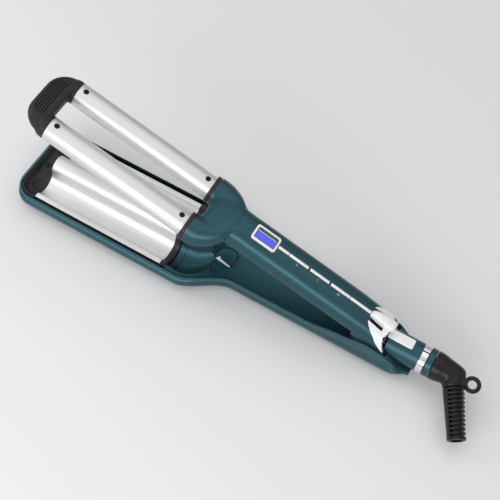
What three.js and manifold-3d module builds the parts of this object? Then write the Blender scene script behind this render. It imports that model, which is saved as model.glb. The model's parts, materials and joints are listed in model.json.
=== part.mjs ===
// A deep-wave hair waver: two heated barrels on a spring-open upper arm close into a wavy heated
// plate on the lower arm. Sizes are in millimetres, +Z is up and +X runs to the cord end.
// Every piece is drawn with the arms shut and the hinge axis at the origin. The upper arm's group is
// then swung open, and the whole part is lifted so that its origin lies on the flat rest face.
import * as THREE from "three";
import { mergeVertices } from "three/addons/utils/BufferGeometryUtils.js";
import Module from "manifold-3d";

const wasm = await Module();
wasm.setup();

// General fits
const GAP = 0.3; // between fixed neighbours
const RUNNING = 0.15; // radial play of a shaft in its bush
const SHUT_GAP = 1.2; // between barrel and plate when the arms are shut
const WALL = 2; // of the moulded shells
const SHEET = 1.5; // of the wave plate
const REACH = 80; // how far a cutting block runs past what it cuts
const SLIVER = 0.005; // corners closer than this become one after the booleans

// Arms and hinge
const OPEN_ANGLE = THREE.MathUtils.degToRad(15.6);
const HINGE_HEIGHT = 21.5; // hinge axis above the rest face
const PIN_RADIUS = 2;
const PIN_LENGTH = 28.8;
const BUSH_WALL = 1;
const LUG_RADIUS = 5.5;
const LUG_WIDTH = 2.4;
const LUG_OUTER = 14.3; // outer face of each lug, from the middle
const POST_WIDTH = 2.4; // posts in the lower shell that hold the pin
const POST_RISE = 3.4;

// Barrels
const BARREL_RADIUS = 9.5;
const BARREL_SPACING = 38;
const BARREL_WALL = 1.3;
const BARREL_ROOT = 174; // hinge axis to the start of the heated length
const BARREL_LENGTH = 123;
const BARREL_SOCKET = 7.5; // length held inside the yoke
const COLLAR_WIDTH = 3.6;
const COLLAR_PROUD = 1.9;
const SCREW_SETBACK = 5.5; // barrel screw from each end of the heated length
const SCREW_HEAD_RADIUS = 2.1;
const SCREW_SHANK_RADIUS = 0.9;
const SCREW_LENGTH = 4;
const HEATER_LENGTH = 104;

// Tip bridge between the barrels
const BRIDGE_LENGTH = 22.3;
const BRIDGE_HALF_WIDTH = 27.4;
const BRIDGE_TOP = 8.4;
const BRIDGE_BOTTOM = -4;
const BRIDGE_PLUG = 7.6;
const BRIDGE_CAP = 8.6; // length of the rounded cap on each barrel
const BRIDGE_POWER = 3.4; // of the section's superellipse
const BRIDGE_NOSE = 21.2; // where the tip starts to round over
const GRIP_GROOVES = 5;
const GRIP_PITCH = 2.2;
const GRIP_GROOVE = 1;
const GRIP_DEPTH = 0.8;
const GRIP_HALF_LENGTH = 17.6;
const GRIP_SETBACK = 4.2; // first groove from the bridge's front
const GRIP_SHORTENING = 1.6; // of the first groove, at each end

// Upper handle
const HANDLE_HALF_WIDTH = 15.3;
const HANDLE_REAR_HALF_WIDTH = 14.5;
const HANDLE_TOP = 20.2;
const HANDLE_BOTTOM = 3.2;
const HANDLE_OVERHANG = 6; // how far the body runs behind the hinge
const HANDLE_TAPER_START = 10;
const HANDLE_TAPER_MID = 24;
const HANDLE_TAPER_END = 38; // full size from here to the crease
const YOKE_LENGTH = 27; // from the collars back to the crease at the neck
const YOKE_NOSE = 24; // from the crease to the front of the web between the sockets
const YOKE_NOSE_TOP = 8.8;
const YOKE_NOSE_BOTTOM = -1.8;
const PARTING_HEIGHT = 5.4; // where top shell and bottom cover meet along the handle
const SECTION_POWER = 2.6;

// Display, buttons and the inlaid strip, along the top
const DISPLAY_CENTRE = 118.7;
const DISPLAY_LENGTH = 21.2;
const DISPLAY_WIDTH = 13.4;
const DISPLAY_CORNER = 2;
const BEZEL_RIM = 1.7;
const BEZEL_PROUD = 0.5;
const BEZEL_DEPTH = 1.7;
const WINDOW_DEPTH = 1.3;
const STRIP_WIDTH = 2.2;
const STRIP_PROUD = 0.5;
const STRIP_DEPTH = 1.4;

const BUTTON_COUNT = 3;
const BUTTON_LENGTH = 17.3;
const BUTTON_PITCH = 18.9;
const FIRST_BUTTON = 88.9; // centre of the button nearest the display
const BUTTON_HEIGHT = 4;
const BUTTON_FLANGE = 1.2;
const BUTTON_FLANGE_WIDTH = 4.6;
const BUTTON_STEM = 0.8;
const BOARD_TOP = 10.9;
const BOARD_THICKNESS = 1.6;
const BOARD_HALF_WIDTH = 10;
const BOARD_FRONT = 128;
const BOARD_REAR = 32;
const SWITCH_SIZE = 6;
const BUTTON_TRAVEL = 0.6;
const SWITCH_CLEARANCE = 0.2; // left between stem and switch with a button pressed

// Rear cap over the hinge, with a fin down each side
const CAP_LENGTH = 22.8;
const CAP_HALF_WIDTH = 4;
const CAP_TOP = 25.4;
const CAP_SEAT = 18;
const CAP_SLOT = 3;
const CAP_WALL = 0.72; // share of its height at which the cap's sides turn in to its top
const CAP_NOSE = 0.7; // share of its width that the cap has at its front
const CAP_BAND = 9; // length of the band that joins cap and fins
const CAP_SKIRT = 7.6; // how far ahead of the hinge the skirt over the stub starts
const CAP_SKIRT_HALF_WIDTH = 6.9;
const CAP_SKIRT_RADIUS = 14; // from the hinge axis, clear of the lock slide as the arm swings
const FIN_INLAY = 0.9;
const FIN_PROUD = 0.4;

// Lower arm
const RIM_HEIGHT = -3.6; // rim of the lower shell, from the hinge axis
const HEAD_HALF_WIDTH = 38.5;
const HEAD_RIM_HALF_WIDTH = 36.2;
const LOWER_HALF_WIDTH = 17.9;
const LOWER_RIM_HALF_WIDTH = 17.4;
const CHEEK_TOP = 5.2; // rim of the lower shell beside the hinge
const CHEEK_INNER = 14.9;
const HEAD_TIP = 318;
const TIP_CORNER = 14.5;
const HEAD_REAR = 168; // where the head starts to draw in to the handle
const WAIST = 126; // where the handle's width is reached
const SHELL_REAR = 28;
const SIDE_HEIGHT = -9; // widest height of the lower shell's side
const SADDLE_FRONT = 6.8; // the saddle round the stub starts here, clear of the lugs
const SHELL_POWER = 2.9; // of the section's superellipse

// Wave plate and what lies round it
const TROUGH_RADIUS = BARREL_RADIUS + SHUT_GAP;
const RIDGE_RADIUS = BARREL_SPACING / 2 - TROUGH_RADIUS;
const PLATE_FRONT = 298.6;
const PLATE_REAR = 181.3;
const PLATE_HALF_WIDTH = 32.6;
const PLATE_LIP = -4.5;
const PLATE_FLANGE = 3;
const INSULATOR_WIDTH = 4.8;
const INSULATOR_DEPTH = -14.5;
const PLATE_HEATER_LENGTH = 100;
const PLATE_HEATER_WIDTH = 13;
const PLATE_HEATER_THICKNESS = 3.4;
const CARRIER_THICKNESS = 1.6;
const TIP_DECK = -4.7;
const TIP_DISH = -8.4;
const TIP_DEPTH = -15;
const TIP_RIM = 3.4;
const TIP_SCREW_HEAD = 2.1;
const TIP_SCREW_SETBACK = 10; // from the plate's front

// Inner cover and depth dial
const COVER_TOP = -4.8;
const COVER_THICKNESS = 3;
const COVER_REAR = 27;
const DIAL_CENTRE = 139;
const DIAL_RADIUS = 9.2;
const DIAL_THICKNESS = 1.3;
const DIAL_RECESS = 2;
const DIAL_GRIP = 11.5;
const DIAL_GRIP_HEIGHT = 2;
const DIAL_SPINDLE_RADIUS = 1.9;
const DIAL_CAM_RADIUS = 5;
const POINTER_PIN_RADIUS = 0.7;
const POINTER_RISE = 1; // top of the arrow above the disc

// Rear stub, its rings and the lock slide
const STUB_RADIUS = 11.2;
const STUB_FRONT = 3.2;
const SPIGOT_RADIUS = 9.6;
const CHROME_RING_RADIUS = 11.6;
const CHROME_RING_WIDTH = 5.5;
const TEAL_RING_RADIUS = 11.3;
const TEAL_RING_WIDTH = 5;
const RING_SPLIT = 1.2;
const RING_CENTRE = 32.4;
const LOCK_FRONT = 1.6;
const LOCK_LENGTH = 20.6;
const LOCK_WIDTH = 8.2;
const LOCK_THICKNESS = 1.5;
const LOCK_TRAVEL = 5;
const LOCK_WEB = 2;
const LOCK_WEB_LENGTH = 6;
const LOCK_FOOT = 6;

// Swivelling cord boot
const SHAFT_RADIUS = 5.5;
const SHAFT_BORE = 3.3;
const CABLE_RADIUS = 3.2; // bore left for the cord
const BOOT_RADIUS = 11.3;
const ELBOW = 57; // where boot and strain relief axes cross
const BOOT_END = 67;
const NECK_RADIUS = 8.5;
const NECK_LENGTH = 10.5;
const RELIEF_END = 50;
const RELIEF_RADIUS = 8.3;
const RELIEF_TIP_RADIUS = 7.25;
const RELIEF_RIBS = 10;
const RELIEF_PITCH = 3.45;
const RELIEF_GROOVE = 1.7;
const RELIEF_GROOVE_DEPTH = 1.5;
const RELIEF_ANGLE = THREE.MathUtils.degToRad(-60.7); // from +X, seen from above
const RELIEF_DROOP = THREE.MathUtils.degToRad(12);
const LOOP_RADIUS = 6.3;
const LOOP_HOLE = 3.4;
const LOOP_THICKNESS = 2.6;
const LOOP_CENTRE = 73.4;

// Hinge spring
const SPRING_WIRE = 0.75; // radius
const SPRING_RADIUS = 3.3;
const SPRING_TURNS = 5;
const SPRING_PITCH = 2.1;
const SPRING_LEG = 18;
const LOWER_LEG_HEIGHT = -4.2;

const SIDES = [
  ["near", -1],
  ["far", 1],
];
const halfSpacing = BARREL_SPACING / 2;
const barrelTip = BARREL_ROOT + BARREL_LENGTH;
const yokeFront = BARREL_ROOT - COLLAR_WIDTH - GAP / 2;
const crease = yokeFront - YOKE_LENGTH;
const floorHeight = -HINGE_HEIGHT;
const tipScrewAt = PLATE_FRONT + GAP + TIP_SCREW_SETBACK;
const buttonFoot = HANDLE_TOP + STRIP_PROUD - BUTTON_HEIGHT;
const stemFoot = buttonFoot - BUTTON_FLANGE - BUTTON_STEM;
const switchTop = stemFoot - BUTTON_TRAVEL - SWITCH_CLEARANCE;

// Solids and booleans

function solid(geometry) {
  const bare = new THREE.BufferGeometry();
  bare.setAttribute("position", geometry.getAttribute("position"));
  if (geometry.index) bare.setIndex(geometry.index);
  const merged = mergeVertices(bare, 1e-4);
  const corners = new Uint32Array(merged.index.array);
  if (signedVolume(merged) < 0) {
    for (let i = 0; i < corners.length; i += 3) {
      [corners[i + 1], corners[i + 2]] = [corners[i + 2], corners[i + 1]];
    }
  }
  const vertProperties = merged.attributes.position.array;
  return new wasm.Manifold(new wasm.Mesh({ numProp: 3, vertProperties, triVerts: corners }));
}

function signedVolume(geometry) {
  const position = geometry.attributes.position;
  const index = geometry.index.array;
  const [a, b, c] = [new THREE.Vector3(), new THREE.Vector3(), new THREE.Vector3()];
  let sum = 0;
  for (let i = 0; i < index.length; i += 3) {
    a.fromBufferAttribute(position, index[i]);
    b.fromBufferAttribute(position, index[i + 1]);
    c.fromBufferAttribute(position, index[i + 2]);
    sum += a.dot(b.cross(c));
  }
  return sum / 6;
}

const join = (first, ...rest) => rest.reduce((sum, next) => sum.add(next), first);
const cut = (first, ...rest) => rest.reduce((sum, next) => sum.subtract(next), first);
const common = (first, ...rest) => rest.reduce((sum, next) => sum.intersect(next), first);

// A box given by its lowest and highest corners.
function block([x0, y0, z0], [x1, y1, z1]) {
  const box = new THREE.BoxGeometry(x1 - x0, y1 - y0, z1 - z0);
  box.translate((x0 + x1) / 2, (y0 + y1) / 2, (z0 + z1) / 2);
  return solid(box);
}

// Skins a row of rings that hold the same number of points, and closes both ends.
function loftGeometry(rings) {
  const count = rings[0].length;
  const points = rings.flat();
  const faces = [];
  for (let i = 0; i + 1 < rings.length; i += 1) {
    for (let j = 0; j < count; j += 1) {
      const k = (j + 1) % count;
      const [a, b, c, d] = [i * count + j, i * count + k, (i + 1) * count + k, (i + 1) * count + j];
      faces.push(a, b, c, a, c, d);
    }
  }
  for (const [start, turned] of [[0, true], [(rings.length - 1) * count, false]]) {
    const centre = new THREE.Vector3();
    for (let j = 0; j < count; j += 1) centre.add(points[start + j]);
    points.push(centre.divideScalar(count));
    for (let j = 0; j < count; j += 1) {
      const [a, b] = [start + j, start + ((j + 1) % count)];
      faces.push(points.length - 1, turned ? b : a, turned ? a : b);
    }
  }
  const geometry = new THREE.BufferGeometry().setFromPoints(points);
  geometry.setIndex(faces);
  return geometry;
}

const loft = (rings) => solid(loftGeometry(rings));

// A straight bar whose outline lies in the YZ plane and which runs along X.
function alongX(outline, from, to) {
  const shape = new THREE.Shape(outline.map(([y, z]) => new THREE.Vector2(y, z)));
  const bar = new THREE.ExtrudeGeometry(shape, { depth: to - from, bevelEnabled: false });
  const axes = new THREE.Matrix4().set(0, 0, 1, from, 1, 0, 0, 0, 0, 1, 0, 0, 0, 0, 0, 1);
  return solid(bar.applyMatrix4(axes));
}

// A plate whose outline lies in the XZ plane and which runs along Y.
function alongY(outline, from, to) {
  const shape = new THREE.Shape(outline.map(([x, z]) => new THREE.Vector2(x, z)));
  const bar = new THREE.ExtrudeGeometry(shape, { depth: to - from, bevelEnabled: false });
  const axes = new THREE.Matrix4().set(1, 0, 0, 0, 0, 0, -1, to, 0, 1, 0, 0, 0, 0, 0, 1);
  return solid(bar.applyMatrix4(axes));
}

// A plate whose outline lies in the XY plane and which runs along Z.
function alongZ(outline, from, to) {
  const shape = new THREE.Shape(outline.map(([x, y]) => new THREE.Vector2(x, y)));
  const plate = new THREE.ExtrudeGeometry(shape, { depth: to - from, bevelEnabled: false });
  plate.translate(0, 0, from);
  return solid(plate);
}

// A round bar between two points.
function rod(start, end, radius, sides = 24, endRadius = radius) {
  const [a, b] = [new THREE.Vector3(...start), new THREE.Vector3(...end)];
  const bar = new THREE.CylinderGeometry(endRadius, radius, a.distanceTo(b), sides);
  const along = b.clone().sub(a).normalize();
  bar.applyQuaternion(new THREE.Quaternion().setFromUnitVectors(new THREE.Vector3(0, 1, 0), along));
  const middle = a.add(b).multiplyScalar(0.5);
  return solid(bar.translate(middle.x, middle.y, middle.z));
}

const rodX = (from, to, radius, y = 0, z = 0, sides = 24) =>
  rod([from, y, z], [to, y, z], radius, sides);
const rodY = (from, to, radius, x = 0, z = 0, sides = 24) =>
  rod([x, from, z], [x, to, z], radius, sides);
const rodZ = (from, to, radius, x = 0, y = 0, sides = 24) =>
  rod([x, y, from], [x, y, to], radius, sides);

// A turned piece on the X axis, from [x, radius] pairs that start and end on the axis.
function turned(profile, sides) {
  const points = profile.map(([x, radius]) => new THREE.Vector2(radius, x));
  const lathe = new THREE.LatheGeometry(points, sides);
  return solid(lathe.rotateZ(-Math.PI / 2));
}

// A rectangle with rounded corners, as an outline.
function roundedOutline(length, width, corner, cx = 0, cy = 0, steps = 4) {
  const outline = [];
  for (let quarter = 0; quarter < 4; quarter += 1) {
    const sx = quarter === 0 || quarter === 3 ? 1 : -1;
    const sy = quarter < 2 ? 1 : -1;
    for (let i = 0; i <= steps; i += 1) {
      const angle = (quarter + i / steps) * (Math.PI / 2);
      const x = cx + sx * (length / 2 - corner) + corner * Math.cos(angle);
      outline.push([x, cy + sy * (width / 2 - corner) + corner * Math.sin(angle)]);
    }
  }
  return outline;
}

// A value read from a row of [place, value] stations with a smooth run between them.
function along(stations, place) {
  if (place <= stations[0][0]) return stations[0][1];
  for (let i = 1; i < stations.length; i += 1) {
    const [[p0, v0], [p1, v1]] = [stations[i - 1], stations[i]];
    if (place <= p1) return v0 + (v1 - v0) * THREE.MathUtils.smoothstep(place, p0, p1);
  }
  return stations[stations.length - 1][1];
}

// Upper arm body: a rounded section whose width, top and bottom change along the arm.
// Places on the upper arm are distances from the hinge towards the tip.

const UPPER_STATIONS = [
  { at: -HANDLE_OVERHANG, half: HANDLE_REAR_HALF_WIDTH, top: HANDLE_TOP - 1.5, bottom: HANDLE_BOTTOM },
  { at: HANDLE_TAPER_START, half: HANDLE_REAR_HALF_WIDTH, top: HANDLE_TOP - 1.3, bottom: HANDLE_BOTTOM },
  { at: HANDLE_TAPER_MID, half: HANDLE_REAR_HALF_WIDTH + 0.4, top: HANDLE_TOP - 0.6, bottom: HANDLE_BOTTOM },
  { at: HANDLE_TAPER_END, half: HANDLE_HALF_WIDTH, top: HANDLE_TOP, bottom: HANDLE_BOTTOM },
  { at: crease - 9, half: HANDLE_HALF_WIDTH, top: HANDLE_TOP, bottom: HANDLE_BOTTOM },
  { at: crease - 1.4, half: HANDLE_HALF_WIDTH + 0.4, top: HANDLE_TOP - 0.3, bottom: HANDLE_BOTTOM },
  { at: crease, half: HANDLE_HALF_WIDTH + 0.7, top: HANDLE_TOP - 1.2, bottom: HANDLE_BOTTOM - 0.6 },
  { at: crease + 2.5, half: HANDLE_HALF_WIDTH + 3, top: HANDLE_TOP - 1.9, bottom: HANDLE_BOTTOM - 2 },
  { at: crease + 7, half: halfSpacing + 4.2, top: HANDLE_TOP - 3.6, bottom: HANDLE_BOTTOM - 5 },
  { at: crease + 13, half: halfSpacing + 7, top: HANDLE_TOP - 6, bottom: HANDLE_BOTTOM - 6 },
  { at: crease + 20, half: halfSpacing + 6, top: HANDLE_TOP - 8.4, bottom: HANDLE_BOTTOM - 6.2 },
  { at: crease + YOKE_NOSE, half: halfSpacing, top: YOKE_NOSE_TOP, bottom: YOKE_NOSE_BOTTOM },
];
const SECTION_POINTS = 24;
const SECTION_MIDDLE = 0.18; // how far up its height a section is widest

function upperRing({ at, half, top, bottom }, inset) {
  const ring = [];
  const middle = bottom + (top - bottom) * SECTION_MIDDLE;
  for (let i = 0; i < SECTION_POINTS; i += 1) {
    const angle = (i / SECTION_POINTS) * Math.PI * 2;
    const [c, s] = [Math.cos(angle), Math.sin(angle)];
    const rise = (s > 0 ? top - middle : middle - bottom) - inset;
    const y = Math.sign(c) * (half - inset) * Math.abs(c) ** (2 / SECTION_POWER);
    ring.push(new THREE.Vector3(-at, y, middle + Math.sign(s) * rise * Math.abs(s) ** (2 / SECTION_POWER)));
  }
  return ring;
}

// The arm's body without its sockets; an inset makes the hollow, a negative one a sleeve round it.
function upperBody(inset, endInset = 0) {
  const last = UPPER_STATIONS.length - 1;
  const rings = UPPER_STATIONS.map((station, i) => {
    const at = station.at - (i === last ? endInset : 0);
    return upperRing({ ...station, at }, inset);
  });
  return loft(rings);
}

const SOCKET_STATIONS = [
  { at: yokeFront, y: halfSpacing, z: 0, radius: 11.9 },
  { at: crease + 19, y: halfSpacing - 0.7, z: 0.4, radius: 12.3 },
  { at: crease + 12, y: halfSpacing - 3.6, z: 2, radius: 12.4 },
  { at: crease + 6, y: halfSpacing - 7, z: 4.4, radius: 11.8 },
  { at: crease + 1, y: halfSpacing - 10.5, z: 7.6, radius: 9.8 },
  { at: crease - 3.5, y: halfSpacing - 12, z: 10.5, radius: 7 },
];
const SOCKET_POINTS = 18;

// One barrel socket, blended back into the handle. Growth widens it for the hollow or the scoop.
function socket(side, growth, frontInset = 0) {
  const rings = SOCKET_STATIONS.map(({ at, y, z, radius }, i) => {
    const ring = [];
    for (let j = 0; j < SOCKET_POINTS; j += 1) {
      const angle = (j / SOCKET_POINTS) * Math.PI * 2;
      const reach = radius + growth;
      const across = side * y + reach * Math.cos(angle);
      ring.push(new THREE.Vector3(-at + (i === 0 ? frontInset : 0), across, z + reach * Math.sin(angle)));
    }
    return ring;
  });
  return loft(rings);
}

const upperOuter = () => join(upperBody(0), socket(-1, 0), socket(1, 0));
const upperHollow = () => join(
  upperBody(WALL, WALL),
  socket(-1, -WALL, WALL),
  socket(1, -WALL, WALL),
);

// The parting line between top shell and bottom cover, seen from the side.
const PARTING = [
  [-REACH, PARTING_HEIGHT],
  [crease, PARTING_HEIGHT],
  [crease + 14, 0],
  [BARREL_ROOT, 0],
];

function partingLine() {
  const line = [];
  for (let at = crease; at <= crease + 14; at += 3.5) line.push([-at, along(PARTING, at)]);
  return [[REACH, PARTING_HEIGHT], ...line, [-BARREL_ROOT - 1, 0]];
}

function abovePartingLine(offset) {
  const line = partingLine().map(([x, z]) => [x, z + offset]);
  return alongY([...line, [-BARREL_ROOT - 1, REACH], [REACH, REACH]], -REACH, REACH);
}

// The rear end of the upper shell slants forwards as it rises.
const REAR_OVERHANG = [-1.8, 21.6]; // the cap's body reaches back over the stub from here up
const REAR_TOP = [-5.6, 17];
const REAR_FOOT = [2, 6.2];

function behindRearLine(offset) {
  const low = [REAR_FOOT[0] + offset, REAR_FOOT[1]];
  const high = [REAR_OVERHANG[0] + offset, REACH];
  const lip = [REAR_OVERHANG[0] + offset, REAR_OVERHANG[1]];
  const top = [REAR_TOP[0] + offset, REAR_TOP[1]];
  return alongY([high, lip, top, low, [low[0], -REACH], [REACH, -REACH], [REACH, REACH]], -REACH, REACH);
}

function buttonCentre(number) {
  return FIRST_BUTTON - number * BUTTON_PITCH;
}

// Side outline of the region that a fin covers.
const FIN_OUTLINE = [
  [-CAP_LENGTH + 1, REACH],
  [-CAP_LENGTH + 1, HANDLE_TOP - 1],
  [-16.8, 17],
  [-12, 14.6],
  [-7.5, 11.2],
  [1.6, 5.9],
  [REACH, 5.9],
  [REACH, REACH],
];

// The trim's footprint on the handle: fins on both sides and a band across the top.
function trimRegion(growth) {
  const fins = alongY(FIN_OUTLINE.map(([x, z]) => [x - growth, z - growth]), -REACH, REACH);
  const front = CAP_HALF_WIDTH * CAP_NOSE + CAP_SLOT - growth;
  const back = CAP_HALF_WIDTH + CAP_SLOT - growth;
  const [nose, band] = [-CAP_LENGTH - 1, -CAP_BAND - growth];
  return cut(fins, alongZ([[nose, front], [nose, -front], [band, -back], [band, back]], 0, REACH));
}

function upperTopShell() {
  let shell = cut(upperOuter(), upperHollow());
  shell = common(shell, abovePartingLine(GAP / 2));
  shell = cut(shell, behindRearLine(0));
  const pocketFloor = HANDLE_TOP - BEZEL_DEPTH + BEZEL_PROUD - GAP / 2;
  const window = roundedOutline(
    DISPLAY_LENGTH - 2 * BEZEL_RIM + GAP, DISPLAY_WIDTH - 2 * BEZEL_RIM + GAP, 1, -DISPLAY_CENTRE, 0, 2,
  );
  const pocket = roundedOutline(
    DISPLAY_LENGTH + 2 * GAP, DISPLAY_WIDTH + 2 * GAP, DISPLAY_CORNER + GAP, -DISPLAY_CENTRE, 0, 3,
  );
  shell = cut(shell, alongZ(window, 0, REACH), alongZ(pocket, pocketFloor, REACH));
  const slotHalf = STRIP_WIDTH / 2 + GAP;
  for (let number = 0; number < BUTTON_COUNT; number += 1) {
    const centre = -buttonCentre(number);
    const half = BUTTON_LENGTH / 2 + GAP;
    shell = cut(shell, block([centre - half, -slotHalf, 0], [centre + half, slotHalf, REACH]));
  }
  for (const [from, to] of stripSpans()) {
    const floor = HANDLE_TOP + STRIP_PROUD - STRIP_DEPTH - GAP / 2;
    shell = cut(shell, block([-from - GAP / 2, -slotHalf, floor], [-to + GAP / 2, slotHalf, REACH]));
  }
  const inlay = cut(upperBody(-REACH / 8), upperBody(FIN_INLAY + GAP / 2));
  shell = cut(shell, common(inlay, trimRegion(GAP / 2)));
  shell = cut(shell, loft(capRings(GAP)), capSkirt(GAP));
  for (const [, side] of SIDES) shell = cut(shell, barrelBore(side));
  return cut(shell, rodY(-REACH, REACH, LUG_RADIUS + GAP), ...stubPath());
}

// The hole in a socket that holds its barrel.
function barrelBore(side) {
  return rodX(-BARREL_ROOT - 1, -yokeFront + 6, BARREL_RADIUS + GAP, side * halfSpacing, 0, 32);
}

// Room for the stub in the upper arm's own frame, at each end of the swing and halfway.
function stubPath() {
  const start = STUB_FRONT - 2 * GAP;
  return [0, 0.5, 1].map((share) => {
    const rise = OPEN_ANGLE * share;
    const [c, s] = [Math.cos(rise), Math.sin(rise)];
    return rod([start * c, 0, start * s], [REACH * c, 0, REACH * s], STUB_RADIUS + 2 * GAP, 32);
  });
}

// The strip's two fixed ends, ahead of and behind the row of buttons.
function stripSpans() {
  const clear = BUTTON_LENGTH / 2 + 2 * GAP;
  return [
    [DISPLAY_CENTRE - DISPLAY_LENGTH / 2 - 2 * GAP, buttonCentre(0) + clear],
    [buttonCentre(BUTTON_COUNT - 1) - clear, CAP_LENGTH + GAP],
  ];
}

const COVER_SCREWS = [BOARD_FRONT + 6, BOARD_REAR - 6];
const COVER_SCREW_HEAD = 2.2;
const COVER_SCREW_LENGTH = 6;
const COVER_SCREW_RECESS = 1.3;
const BOARD_RIBS = [BOARD_FRONT - 8, BOARD_REAR + 10];
const BOARD_RIB_HALF_WIDTH = 7;
const lugInner = LUG_OUTER - LUG_WIDTH;

// Side outline of the arm that carries a lug; its blunt front end shows in the gap between the arms.
const LUG_ARM_FRONT = -25.5;
const LUG_ARM = [
  [LUG_ARM_FRONT, 0.4], [-14, -2.2], [-4, -3.8], [LUG_RADIUS, 0], [3, PARTING_HEIGHT - GAP],
  [LUG_ARM_FRONT, PARTING_HEIGHT - GAP],
];

function upperBottomCover() {
  let cover = cut(upperOuter(), upperHollow(), abovePartingLine(-GAP / 2));
  cover = cut(cover, block([-9, -REACH, -REACH], [REACH, REACH, REACH]));
  for (const at of BOARD_RIBS) {
    const rib = block(
      [-at - 1, -BOARD_RIB_HALF_WIDTH, HANDLE_BOTTOM + 1],
      [-at + 1, BOARD_RIB_HALF_WIDTH, BOARD_TOP - BOARD_THICKNESS - GAP],
    );
    cover = join(cover, rib);
  }
  for (const [, side] of SIDES) {
    const [from, to] = side < 0 ? [-LUG_OUTER, -lugInner] : [lugInner, LUG_OUTER];
    const arm = alongY(LUG_ARM, from, to);
    cover = join(cover, rodY(from, to, LUG_RADIUS), arm);
    cover = cut(cover, barrelBore(side));
  }
  cover = cut(cover, rodY(-REACH, REACH, PIN_RADIUS + RUNNING + BUSH_WALL + GAP / 2));
  for (const at of COVER_SCREWS) {
    const bossTop = HANDLE_BOTTOM + COVER_SCREW_LENGTH;
    const boss = rodZ(HANDLE_BOTTOM + 1, bossTop, COVER_SCREW_HEAD + 1, -at, 0, 16);
    cover = cut(
      join(cover, boss),
      rodZ(0, REACH, SCREW_SHANK_RADIUS + GAP, -at, 0, 12),
      rodZ(0, HANDLE_BOTTOM + COVER_SCREW_RECESS, COVER_SCREW_HEAD + GAP, -at, 0, 16),
    );
  }
  return cover;
}

function hingeBush(side) {
  const [a, b] = [side * (lugInner - 0.15), side * (LUG_OUTER + 0.15)];
  const [from, to] = [Math.min(a, b), Math.max(a, b)];
  return cut(rodY(from, to, PIN_RADIUS + RUNNING + BUSH_WALL), rodY(-REACH, REACH, PIN_RADIUS + RUNNING));
}

// The cap's rounded body, from its narrow nose to the rear; growth makes the seat that it lies in.
function capRings(growth) {
  return CAP_STATIONS.map(([back, width, rise]) => {
    const ring = [];
    const half = CAP_HALF_WIDTH * width + growth;
    const low = CAP_SEAT - growth;
    const high = CAP_SEAT + (CAP_TOP - CAP_SEAT) * rise + growth;
    const at = -CAP_LENGTH + back - (back === 0 ? growth : 0);
    ring.push(new THREE.Vector3(at, -half, low), new THREE.Vector3(at, half, low));
    for (let i = 0; i <= 8; i += 1) {
      const angle = (i / 8) * Math.PI;
      const lift = (high - low) * (CAP_WALL + (1 - CAP_WALL) * Math.max(0, Math.sin(angle)) ** 0.6);
      ring.push(new THREE.Vector3(at, half * Math.cos(angle), low + lift));
    }
    return ring;
  });
}

// The skirt under the cap, which closes the handle's rear end; growth makes its seat.
function capSkirt(growth) {
  const half = CAP_SKIRT_HALF_WIDTH + growth;
  const bar = block([-CAP_SKIRT - growth, -half, 0], [REACH, half, CAP_SEAT + 1]);
  return cut(bar, rodY(-REACH, REACH, CAP_SKIRT_RADIUS - growth, 0, 0, 48));
}

const CAP_STATIONS = [
  [0, CAP_NOSE * 0.6, 0.35], [0.8, CAP_NOSE * 0.85, 0.55], [2.5, CAP_NOSE, 0.74], [5.5, 0.8, 0.9],
  [9.5, 0.92, 0.98], [14, 1, 1], [18.6, 1.02, 0.98], [20.2, 1, 0.92], [21.2, 0.92, 0.8],
];

function hingeCap() {
  const skin = cut(upperBody(-FIN_PROUD), upperBody(FIN_INLAY));
  const trim = common(skin, trimRegion(0));
  const dome = loft(capRings(0));
  return cut(join(trim, dome, capSkirt(0)), behindRearLine(0));
}

function barrel(side) {
  const y = side * halfSpacing;
  const back = -BARREL_ROOT + BARREL_SOCKET;
  let tube = rodX(-barrelTip, back, BARREL_RADIUS, y, 0, 36);
  tube = cut(tube, rodX(-barrelTip - 1, back + 1, BARREL_RADIUS - BARREL_WALL, y, 0, 24));
  for (const at of barrelScrewPlaces()) {
    tube = cut(tube, rodZ(0, REACH, SCREW_HEAD_RADIUS + GAP / 2, -at, y, 12));
  }
  return tube;
}

function barrelScrewPlaces() {
  return [BARREL_ROOT + SCREW_SETBACK, barrelTip - SCREW_SETBACK];
}

function barrelScrew(side, at) {
  const y = side * halfSpacing;
  const head = rodZ(BARREL_RADIUS - BARREL_WALL + 0.1, BARREL_RADIUS - 0.2, SCREW_HEAD_RADIUS, -at, y, 12);
  return join(head, rodZ(BARREL_RADIUS - SCREW_LENGTH, BARREL_RADIUS - 1, SCREW_SHANK_RADIUS, -at, y, 8));
}

function collar(side) {
  const y = side * halfSpacing;
  const back = -BARREL_ROOT + COLLAR_WIDTH - GAP / 2;
  const ring = rodX(-BARREL_ROOT, back, BARREL_RADIUS + COLLAR_PROUD, y, 0, 32);
  return cut(ring, rodX(-REACH * 3, 0, BARREL_RADIUS + GAP, y, 0, 32));
}

// The round bar inside a barrel that holds its ceramic heater against the metal.
function barrelHeater(side) {
  const y = side * halfSpacing;
  const from = -barrelTip + BRIDGE_PLUG + 2 * GAP;
  const radius = BARREL_RADIUS - BARREL_WALL - GAP;
  const bar = rodX(from, from + HEATER_LENGTH, radius, y, 0, 20);
  const rootScrew = -BARREL_ROOT - SCREW_SETBACK;
  const relief = block([rootScrew - 4, y - 4, BARREL_RADIUS - SCREW_LENGTH - GAP], [REACH, y + 4, REACH]);
  return cut(bar, relief, block([-REACH * 4, y - radius, -1], [REACH, y - radius + 3, 1]));
}

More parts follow.
